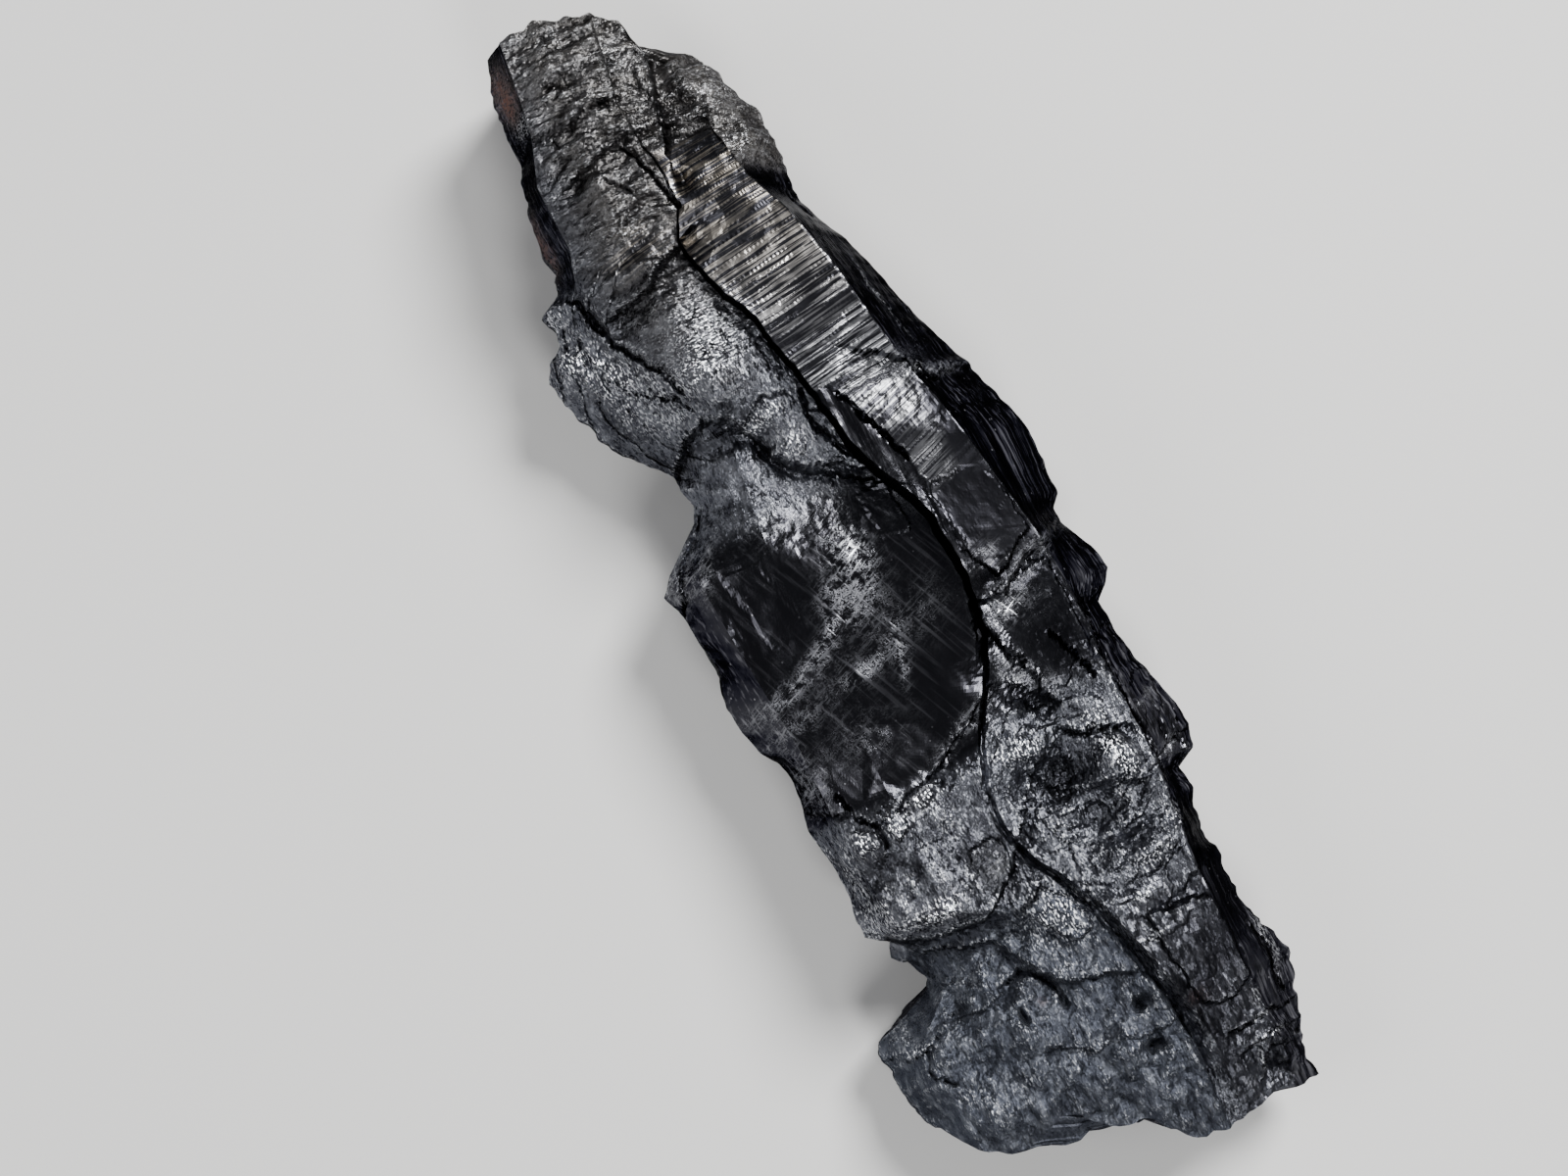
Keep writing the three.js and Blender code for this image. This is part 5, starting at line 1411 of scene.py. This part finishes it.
@dataclass(frozen=True)
class StibniteFinish:
    """Colours and roughness of the crystal's kinds of surface, with its painted highlights and painted
    shade, and the sizes of its finest pattern.

    A scale counts pattern cells in a metre, and a turn is in radians. A range gives the two values of a
    pattern between which something eases in.

    Attributes:
        rough_grey: Raised grains of a break.
        rough_dark: The grains between them.
        foot_slate: The dull foot.
        foot_light: Its lighter grains.
        brassy: The faint tint near the tip.
        brassy_silver: The striations there.
        grazing_tint: The reflection at a grazing angle.
        large_facet: Width of the large mirrors of a break, in metres.
        small_facet: Width of the small mirrors on them.
        large_tilt: How far the large mirrors lean.
        small_tilt: How far the small mirrors lean.
        bright_facing: The way that faces which catch the light are turned.
        bright_lean: How fully they are turned that way.
        grain_across: Stretch of the grain at the tip.
        grain_along: Stretch of the grain elsewhere.
        grain_switch: The warm mask's value where the one turns into the other.
        bump_depth: Height of the finest relief, in metres.
    """

    rough_grey: Colour = (0.148, 0.154, 0.175, 1.0)
    rough_dark: Colour = (0.062, 0.064, 0.076, 1.0)
    # Painted dark reflection: the smooth mirror faces are painted near black.
    cleavage_painted_dark: Colour = (0.034, 0.034, 0.04, 1.0)
    striation_silver: Colour = (0.62, 0.625, 0.65, 1.0)
    # Painted dark reflection: the striated face between its shining lines.
    striation_painted_dark: Colour = (0.036, 0.036, 0.042, 1.0)
    foot_slate: Colour = (0.066, 0.072, 0.09, 1.0)
    foot_light: Colour = (0.15, 0.16, 0.186, 1.0)
    dust_grey: Colour = (0.2, 0.2, 0.215, 1.0)
    grazing_tint: Colour = (0.12, 0.12, 0.13, 1.0)
    brassy: Colour = (0.19, 0.175, 0.15, 1.0)
    brassy_silver: Colour = (0.62, 0.54, 0.42, 1.0)
    rust: Colour = (0.12, 0.03, 0.008, 1.0)
    scuff_light: Colour = (0.3, 0.305, 0.33, 1.0)
    fibre_grey: Colour = (0.13, 0.13, 0.145, 1.0)
    # Painted highlight: the colour painted on faces that catch the light.
    painted_highlight_silver: Colour = (0.88, 0.9, 0.94, 1.0)
    # Painted shade: the near black painted into cracks, hollows and faces that stay dark.
    painted_shade_black: Colour = (0.018, 0.018, 0.022, 1.0)

    rough_roughness: float = 0.34
    cleavage_roughness: float = 0.24
    striation_roughness: float = 0.34
    foot_roughness: float = 0.56
    scuff_roughness: float = 0.45
    light_roughness: float = 0.27
    rust_roughness: float = 0.75

    cloud_scale: float = 1500.0
    speck_scale: float = 8500.0
    fine_scale: float = 14000.0
    dust_scale: float = 2400.0
    dust_spacing: float = 0.00042
    line_turn: float = 0.13
    low_line_turn: float = 0.34
    line_scale: tuple[float, float, float] = (330.0, 8400.0, 330.0)
    band_scale: tuple[float, float, float] = (420.0, 1500.0, 420.0)
    fibre_scale: tuple[float, float, float] = (4600.0, 220.0, 4600.0)
    scratch_turn: float = 0.45
    scratch_scale: tuple[float, float, float] = (1300.0, 9500.0, 900.0)
    grain_across: tuple[float, float, float] = (0.55, 1.5, 1.0)
    grain_along: tuple[float, float, float] = (1.5, 0.6, 1.0)
    grain_switch: float = 0.12

    grain_range: tuple[float, float] = (0.35, 0.65)
    foot_range: tuple[float, float] = (0.45, 0.7)
    line_range: tuple[float, float] = (0.47, 0.58)
    fibre_range: tuple[float, float] = (0.5, 0.66)
    plate_range: tuple[float, float] = (0.55, 0.68)
    scratch_range: tuple[float, float] = (0.54, 0.64)
    plate_scratch_range: tuple[float, float] = (0.58, 0.68)
    glint_range: tuple[float, float] = (0.5, 0.64)
    rust_range: tuple[float, float] = (0.35, 0.6)
    shade_range: tuple[float, float] = (0.3, 0.7)

    bright_facing: tuple[float, float, float] = (0.3, 0.14, 0.94)
    bright_lean: float = 1.0
    large_tilt: float = 0.26
    small_tilt: float = 0.5
    smooth_tilt: float = 0.02
    large_facet: float = 0.00028
    small_facet: float = 0.0001
    bump_depth: float = 0.00007
    bump_strength: float = 0.8

    def material(self) -> bpy.types.Material:
        """Builds the stibnite material.

        Returns:
            A metallic material whose colour, roughness and fine relief follow the masks.
        """
        tree = ShaderTree("stibnite")
        place = tree.node("ShaderNodeTexCoord").outputs["Object"]
        masks = {mask: tree.attribute(mask.value) for mask in Mask}
        at_tip = tree.math("GREATER_THAN", masks[Mask.WARM], self.grain_switch)
        stretch = tree.mix_vector(at_tip, self.grain_along, self.grain_across)
        squeezed = tree.vector_math("MULTIPLY", place, stretch)
        cloud = tree.noise(squeezed, self.cloud_scale, 5.0)
        speck = tree.noise(squeezed, self.speck_scale, 2.0)
        upper_lines = tree.turned(place, -self.line_turn)
        lower_lines = tree.turned(place, -self.low_line_turn)
        across = tree.mix_vector(masks[Mask.SLANT], upper_lines, lower_lines)
        lines = tree.group(stretched_lines(), Vector=across, Scale=self.line_scale)
        bands = tree.group(stretched_lines(), Vector=across, Scale=self.band_scale)
        fibres = tree.group(stretched_lines(), Vector=place, Scale=self.fibre_scale)
        on_plate = tree.turned(place, -PLATE_TURN)
        plate_lines = tree.group(stretched_lines(), Vector=on_plate, Scale=self.fibre_scale)
        slanted = tree.turned(place, -self.scratch_turn)
        scratches = tree.group(stretched_lines(), Vector=slanted, Scale=self.scratch_scale)

        scratched = tree.spread(scratches, self.scratch_range)
        hairs = tree.math("MAXIMUM", scratched, tree.spread(plate_lines, self.plate_scratch_range))
        scuffed = tree.math("MULTIPLY", masks[Mask.SCUFF], self.worn(tree, place, hairs))
        glints = tree.mix_value(masks[Mask.SCUFF], tree.spread(speck, self.glint_range), hairs)
        # Painted highlight: where faces catch the light, glints of silver are painted into the colour.
        bright = tree.math("MULTIPLY", masks[Mask.LIGHT], glints)
        fibred = tree.math("MULTIPLY", masks[Mask.FIBRE], tree.spread(fibres, self.fibre_range))
        plated = tree.math("MULTIPLY", masks[Mask.PLATE], tree.spread(plate_lines, self.plate_range))
        fibred = tree.math("MAXIMUM", fibred, tree.math("MULTIPLY", plated, 0.6))
        fibred = tree.math("MULTIPLY", fibred, masks[Mask.CLEAVAGE])
        banded = tree.math("MULTIPLY", tree.spread(lines, self.line_range), tree.mix_value(bands, 0.1, 1.6))
        lined = tree.math("MULTIPLY", masks[Mask.SHINE], banded)
        rusty = tree.math("MULTIPLY", masks[Mask.RUST], tree.spread(speck, self.rust_range))
        uneven = tree.mix_value(tree.spread(cloud, self.shade_range), 0.9, 0.6)
        # Painted shade: how far the colour is painted near black.
        shaded = tree.math("MULTIPLY", masks[Mask.SHADE], uneven)

        colour = tree.mix_colour(tree.spread(cloud, self.grain_range), self.rough_dark, self.rough_grey)
        colour = tree.mix_colour(tree.math("MULTIPLY", masks[Mask.WARM], 0.5), colour, self.brassy)
        slaty = tree.mix_colour(tree.spread(cloud, self.foot_range), self.foot_slate, self.foot_light)
        silvery = tree.mix_colour(masks[Mask.WARM], self.striation_silver, self.brassy_silver)
        # The striations are painted silver where they shine and near black where they don't: painted
        # highlight and painted dark reflection.
        striped = tree.mix_colour(lined, self.striation_painted_dark, silvery)
        for share, covering in (
            (masks[Mask.FOOT], slaty),
            (masks[Mask.CLEAVAGE], self.cleavage_painted_dark),
            (fibred, self.fibre_grey),
            (masks[Mask.STRIATION], striped),
            (scuffed, self.scuff_light),
            (bright, self.painted_highlight_silver),
            (shaded, self.painted_shade_black),
            (self.dusty(tree, place, masks[Mask.CLEAVAGE]), self.dust_grey),
            (rusty, self.rust),
        ):
            colour = tree.mix_colour(share, colour, covering)

        rough = self.rough_roughness
        for share, roughness in (
            (masks[Mask.STRIATION], self.striation_roughness),
            (masks[Mask.CLEAVAGE], self.cleavage_roughness),
            (masks[Mask.FOOT], self.foot_roughness),
            (scuffed, self.scuff_roughness),
            (bright, self.light_roughness),
            (rusty, self.rust_roughness),
        ):
            rough = tree.mix_value(share, rough, roughness)
        metal = tree.math("SUBTRACT", 1.0, tree.math("MULTIPLY", rusty, 0.95))

        bump = tree.node("ShaderNodeBump", Normal=self.mirrors(tree, squeezed, masks[Mask.GRAIN], bright))
        bump.inputs["Distance"].default_value = self.bump_depth
        bump.inputs["Strength"].default_value = self.bump_strength
        height = tree.math("MULTIPLY", masks[Mask.STRIATION], lines)
        height = tree.math("MULTIPLY", height, tree.mix_value(masks[Mask.SHINE], 0.12, 1.0))
        for mask, pattern, share in ((masks[Mask.FIBRE], fibres, 0.45), (masks[Mask.GRAIN], speck, 0.9)):
            part = tree.math("MULTIPLY", mask, tree.math("MULTIPLY", pattern, share))
            height = tree.math("ADD", height, part)
        height = tree.math("ADD", height, tree.math("MULTIPLY", scuffed, 0.15))
        tree.links.new(height, bump.inputs["Height"])

        surface = tree.node("ShaderNodeBsdfPrincipled", Roughness=rough, Metallic=metal)
        surface.inputs["Specular Tint"].default_value = self.grazing_tint
        tree.links.new(bump.outputs[0], surface.inputs["Normal"])
        tree.links.new(colour, surface.inputs["Base Color"])
        tree.finish(surface)
        return tree.material

    def worn(self, tree: "ShaderTree", place: Socket, hairs: Socket) -> Socket:
        """Where a scuffed face is worn light: hair-fine scratches broken up by dust, and patches of dust.

        Args:
            tree: The material's nodes.
            place: Object coordinates.
            hairs: The scratches.

        Returns:
            A value from 0 to 1.
        """
        fine = tree.noise(place, self.fine_scale, 2.0)
        dust = tree.noise(place, self.dust_scale, 4.0)
        lines = tree.math("MULTIPLY", hairs, tree.spread(dust, (0.3, 0.5)))
        specks = tree.math("MULTIPLY", tree.spread(dust, (0.36, 0.6)), tree.spread(fine, (0.4, 0.62)))
        return tree.math("MAXIMUM", lines, specks)

    def dusty(self, tree: "ShaderTree", place: Socket, smooth: Socket) -> Socket:
        """Specks of dust on the smooth faces: round dots, one in half of the cells of a Voronoi pattern.

        Args:
            tree: The material's nodes.
            place: Object coordinates.
            smooth: Where the faces are smooth.

        Returns:
            A value from 0 to 1.
        """
        dots = tree.node("ShaderNodeTexVoronoi", Vector=place, Scale=1.0 / self.dust_spacing)
        round_dots = tree.math("MULTIPLY", tree.spread(dots.outputs["Distance"], (0.12, 0.08)), smooth)
        return tree.math("MULTIPLY", round_dots, tree.spread(dots.outputs["Color"], (0.5, 0.6)))

    def mirrors(self, tree: "ShaderTree", squeezed: Socket, grain: Socket, bright: Socket) -> Socket:
        """The normal: large and small mirrors that lean their own way, and bright ones turned to the light.

        Args:
            tree: The material's nodes.
            squeezed: Stretched coordinates.
            grain: How broken the surface is.
            bright: Where a face catches the light.

        Returns:
            The normal.
        """
        large = tree.mix_value(grain, self.smooth_tilt, self.large_tilt)
        small = tree.mix_value(grain, self.smooth_tilt, self.small_tilt)
        small = tree.math("MULTIPLY", small, tree.mix_value(bright, 1.0, 0.45))
        normal = tree.nodes.new("ShaderNodeNewGeometry").outputs["Normal"]
        leaning = tree.math("MULTIPLY", bright, self.bright_lean)
        normal = tree.mix_vector(leaning, normal, self.bright_facing)
        for cell, tilt in ((self.large_facet, large), (self.small_facet, small)):
            normal = tree.group(facet_sparkle(), Vector=squeezed, Cell=cell, Tilt=tilt, Normal=normal)
        return normal


class ShaderTree:
    """A material's or a group's node tree, with short calls for the nodes that the finishes use."""

    def __init__(self, name: str, tree: bpy.types.NodeTree | None = None) -> None:
        """Opens a new material's tree, or the given group's.

        Args:
            name: The material's name.
            tree: A group's tree, or nothing for a new material.
        """
        self.material = None
        if tree is None:
            self.material = bpy.data.materials.new(name)
            self.material.use_nodes = True
            tree = self.material.node_tree
            tree.nodes.clear()
        self.nodes = tree.nodes
        self.links = tree.links

    def connect(self, value: object, socket: Socket) -> None:
        """Links an output to the socket, or sets a plain number, vector or colour on it.

        Args:
            value: The output or the plain value.
            socket: The input that takes it.
        """
        if isinstance(value, bpy.types.NodeSocket):
            self.links.new(value, socket)
        else:
            socket.default_value = value

    def node(self, kind: str, **values: object) -> bpy.types.Node:
        """Adds a node.

        Args:
            kind: The node's type.
            **values: What goes into its named sockets.

        Returns:
            The node.
        """
        made = self.nodes.new(kind)
        for name, value in values.items():
            self.connect(value, made.inputs[name])
        return made

    def placed(self, made: bpy.types.Node, *values: object) -> bpy.types.Node:
        """Fills a node's first sockets in order and gives the node back."""
        for place, value in enumerate(values):
            self.connect(value, made.inputs[place])
        return made

    def attribute(self, name: str) -> Socket:
        """The value of the point attribute with this name."""
        made = self.nodes.new("ShaderNodeAttribute")
        made.attribute_name = name
        return made.outputs["Fac"]

    def noise(self, place: Socket, scale: float, detail: float) -> Socket:
        """Fractal noise from 0 to 1."""
        made = self.node("ShaderNodeTexNoise", Vector=place, Scale=scale, Detail=detail, Roughness=0.6)
        return made.outputs["Fac"]

    def turned(self, place: Socket, angle: float) -> Socket:
        """The place turned about Z by an angle in radians."""
        made = self.node("ShaderNodeMapping", Vector=place)
        made.inputs["Rotation"].default_value = (0.0, 0.0, angle)
        return made.outputs[0]

    def math(self, operation: str, a: object, b: object) -> Socket:
        """One arithmetic step on two values."""
        made = self.nodes.new("ShaderNodeMath")
        made.operation = operation
        return self.placed(made, a, b).outputs[0]

    def vector_math(self, operation: str, *values: object) -> Socket:
        """One vector step on one or two values."""
        made = self.nodes.new("ShaderNodeVectorMath")
        made.operation = operation
        return self.placed(made, *values).outputs[0]

    def spread(self, value: Socket, limits: tuple[float, float]) -> Socket:
        """Stretches the range between two limits over 0 to 1, eased at both ends.

        Args:
            value: The pattern.
            limits: Where the result is 0 and where it is 1.

        Returns:
            The eased value.
        """
        made = self.nodes.new("ShaderNodeMapRange")
        made.interpolation_type = "SMOOTHSTEP"
        return self.placed(made, value, *limits).outputs["Result"]

    def mixed(self, kind: MixKind, share: object, a: object, b: object) -> Socket:
        """Mixes two inputs.

        Args:
            kind: What is mixed.
            share: How much of b.
            a: The result where the share is 0.
            b: The result where the share is 1.

        Returns:
            The mixed output.
        """
        made = self.nodes.new("ShaderNodeMix")
        made.data_type = kind.name
        first, out = kind.value
        for value, place in ((share, 0), (a, first), (b, first + 1)):
            self.connect(value, made.inputs[place])
        return made.outputs[out]

    def mix_colour(self, share: object, a: object, b: object) -> Socket:
        """Colour a where the share is 0 and colour b where it is 1."""
        return self.mixed(MixKind.RGBA, share, a, b)

    def mix_vector(self, share: object, a: object, b: object) -> Socket:
        """Vector a where the share is 0 and vector b where it is 1."""
        return self.mixed(MixKind.VECTOR, share, a, b)

    def mix_value(self, share: object, a: object, b: object) -> Socket:
        """Value a where the share is 0 and value b where it is 1."""
        return self.mixed(MixKind.FLOAT, share, a, b)

    def group(self, tree: bpy.types.NodeTree, **values: object) -> Socket:
        """Places a group with its own values.

        Args:
            tree: The group.
            **values: What goes into its named sockets.

        Returns:
            The group's only output.
        """
        made = self.nodes.new("ShaderNodeGroup")
        made.node_tree = tree
        for name, value in values.items():
            self.connect(value, made.inputs[name])
        return made.outputs[0]

    def finish(self, surface: bpy.types.Node) -> None:
        """Joins the shader to the material's output."""
        out = self.nodes.new("ShaderNodeOutputMaterial")
        self.links.new(surface.outputs[0], out.inputs["Surface"])


def new_group(
    name: str, inputs: dict[str, str], output: tuple[str, str]
) -> tuple[ShaderTree, bpy.types.NodeTree]:
    """Starts a shader node group and makes its sockets.

    Args:
        name: The group's name.
        inputs: Socket types by socket name.
        output: The only output's name and type.

    Returns:
        Short calls for the group's nodes, and the group.
    """
    tree = bpy.data.node_groups.new(name, "ShaderNodeTree")
    for socket, kind in inputs.items():
        tree.interface.new_socket(name=socket, in_out="INPUT", socket_type=kind)
    tree.interface.new_socket(name=output[0], in_out="OUTPUT", socket_type=output[1])
    return ShaderTree(name, tree), tree


def stretched_lines() -> bpy.types.NodeTree:
    """A group of fine lines: noise that is drawn out, because its scale along each axis is an input.

    Returns:
        The group, built at its first use. It has the inputs Vector and Scale and the output Value.
    """
    name = "stretched lines"
    if name in bpy.data.node_groups:
        return bpy.data.node_groups[name]
    inputs = {"Vector": "NodeSocketVector", "Scale": "NodeSocketVector"}
    calls, tree = new_group(name, inputs, ("Value", "NodeSocketFloat"))
    given, out = calls.nodes.new("NodeGroupInput"), calls.nodes.new("NodeGroupOutput")
    stretched = calls.vector_math("MULTIPLY", given.outputs["Vector"], given.outputs["Scale"])
    calls.links.new(calls.noise(stretched, 1.0, 2.0), out.inputs["Value"])
    return tree


def facet_sparkle() -> bpy.types.NodeTree:
    """A group of tiny mirrors: each cell of a Voronoi pattern leans the given normal its own way.

    Returns:
        The group, built at its first use. It has the inputs Vector, Cell, Tilt and Normal, and the output
        Normal.
    """
    name = "facet sparkle"
    if name in bpy.data.node_groups:
        return bpy.data.node_groups[name]
    inputs = {
        "Vector": "NodeSocketVector",
        "Cell": "NodeSocketFloat",
        "Tilt": "NodeSocketFloat",
        "Normal": "NodeSocketVector",
    }
    calls, tree = new_group(name, inputs, ("Normal", "NodeSocketVector"))
    given, out = calls.nodes.new("NodeGroupInput"), calls.nodes.new("NodeGroupOutput")
    cells = calls.node("ShaderNodeTexVoronoi", Vector=given.outputs["Vector"])
    calls.links.new(calls.math("DIVIDE", 1.0, given.outputs["Cell"]), cells.inputs["Scale"])
    centred = calls.vector_math("SUBTRACT", cells.outputs["Color"], (0.5, 0.5, 0.5))
    tilt = given.outputs["Tilt"]
    tilts = calls.node("ShaderNodeCombineXYZ", X=tilt, Y=tilt, Z=tilt)
    lean = calls.vector_math("MULTIPLY", centred, tilts.outputs[0])
    leant = calls.vector_math("ADD", lean, given.outputs["Normal"])
    calls.links.new(calls.vector_math("NORMALIZE", leant), out.inputs["Normal"])
    return tree


@dataclass(frozen=True)
class SoftLight:
    """One soft box of the studio."""

    name: str
    azimuth_deg: float  # where it stands round the crystal, 0 behind the camera's side and 90 to its right
    elevation_deg: float
    distance: float
    size: float
    power: float


@dataclass
class Studio:
    """The pale floor, the soft light and the camera.

    Attributes:
        view_azimuth_deg: Turns the crystal's length to the left in the picture.
        view_elevation_deg: The camera looks down on the crystal at this angle.
        lens_mm: The lens's focal length.
        sensor_mm: The sensor's width.
        image_width: The picture's width in pixels.
        pixels_per_mm: Scale of the picture at the crystal's front.
        target_mm: The place in the drawing that the camera looks at.
        floor_size: The floor's width in metres.
        floor_colour: The floor's colour.
        world_colour: The sky's colour.
        world_strength: The sky's brightness.
        lights: The soft boxes.
    """

    view_azimuth_deg: float = -26.0
    view_elevation_deg: float = 86.0
    lens_mm: float = 70.0
    sensor_mm: float = 36.0
    image_width: float = 1600.0
    pixels_per_mm: float = 25.0
    target_mm: tuple[float, float, float] = (-4.67, 2.28, 5.5)
    floor_size: float = 1.6
    floor_colour: Colour = (0.78, 0.775, 0.76, 1.0)
    world_colour: Colour = (0.9, 0.92, 1.0, 1.0)
    world_strength: float = 0.14
    lights: tuple[SoftLight, ...] = (
        SoftLight("key", 145.0, 49.0, 0.34, 0.13, 1.9),
        SoftLight("fill", -75.0, 40.0, 0.4, 0.2, 0.5),
        SoftLight("front", 25.0, 48.0, 0.36, 0.12, 0.6),
    )

    def floor(self) -> bpy.types.Object:
        """Makes the plain pale floor at the height that the crystal lies on.

        Returns:
            The floor's object.
        """
        half = self.floor_size / 2.0
        corners = [(-half, -half, 0), (half, -half, 0), (half, half, 0), (-half, half, 0)]
        mesh = bpy.data.meshes.new("floor")
        mesh.from_pydata(corners, [], [(0, 1, 2, 3)])
        floor = bpy.data.objects.new("floor", mesh)
        tree = ShaderTree("pale_floor")
        surface = tree.node("ShaderNodeBsdfPrincipled", Roughness=0.7)
        surface.inputs["Base Color"].default_value = self.floor_colour
        tree.finish(surface)
        mesh.materials.append(tree.material)
        bpy.context.scene.collection.objects.link(floor)
        return floor

    def light(self) -> None:
        """Sets the dim sky and the soft boxes, which all face the crystal."""
        world = bpy.data.worlds.new("sky")
        world.use_nodes = True
        sky = world.node_tree.nodes["Background"]
        sky.inputs["Color"].default_value = self.world_colour
        sky.inputs["Strength"].default_value = self.world_strength
        bpy.context.scene.world = world
        for box in self.lights:
            lamp = bpy.data.lights.new(box.name, "AREA")
            lamp.shape = "DISK"
            lamp.size = box.size
            lamp.energy = box.power
            holder = bpy.data.objects.new(box.name, lamp)
            away = self.direction(self.view_azimuth_deg + box.azimuth_deg, box.elevation_deg)
            holder.location = away * box.distance
            holder.rotation_euler = (-away).to_track_quat("-Z", "Y").to_euler()
            bpy.context.scene.collection.objects.link(holder)

    @staticmethod
    def direction(azimuth_deg: float, elevation_deg: float) -> Vector:
        """The way from the crystal to something at this azimuth and elevation, with 0 on the -Y side."""
        a, e = math.radians(azimuth_deg), math.radians(elevation_deg)
        return Vector((math.sin(a) * math.cos(e), -math.cos(a) * math.cos(e), math.sin(e)))

    def camera(self, origin: Array) -> bpy.types.Object:
        """Makes the camera, which looks down on the crystal's front.

        Args:
            origin: The place in the drawing that is the frame's origin.

        Returns:
            The camera.
        """
        lens = bpy.data.cameras.new("camera")
        lens.lens = self.lens_mm
        lens.sensor_width = self.sensor_mm
        lens.clip_start = 0.005
        lens.clip_end = 10.0
        camera = bpy.data.objects.new("camera", lens)
        distance = self.image_width * self.lens_mm / self.sensor_mm / self.pixels_per_mm * MM
        target = Vector((np.array(self.target_mm) - origin) * MM)
        away = self.direction(self.view_azimuth_deg, self.view_elevation_deg)
        camera.location = target + away * distance
        camera.rotation_euler = (-away).to_track_quat("-Z", "Y").to_euler()
        bpy.context.scene.collection.objects.link(camera)
        bpy.context.scene.camera = camera
        return camera


def main() -> None:
    """Builds the studio and the crystal."""
    logging.basicConfig(level=logging.INFO, format="%(name)s: %(message)s")
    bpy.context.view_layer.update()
    crystal = Crystal()
    studio = Studio()
    studio.camera(crystal.origin())
    studio.floor()
    studio.light()
    piece = crystal.build()
    piece.data.materials.append(StibniteFinish().material())
    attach(piece, "root")
    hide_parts("crystal")


if __name__ == "__main__":
    main()
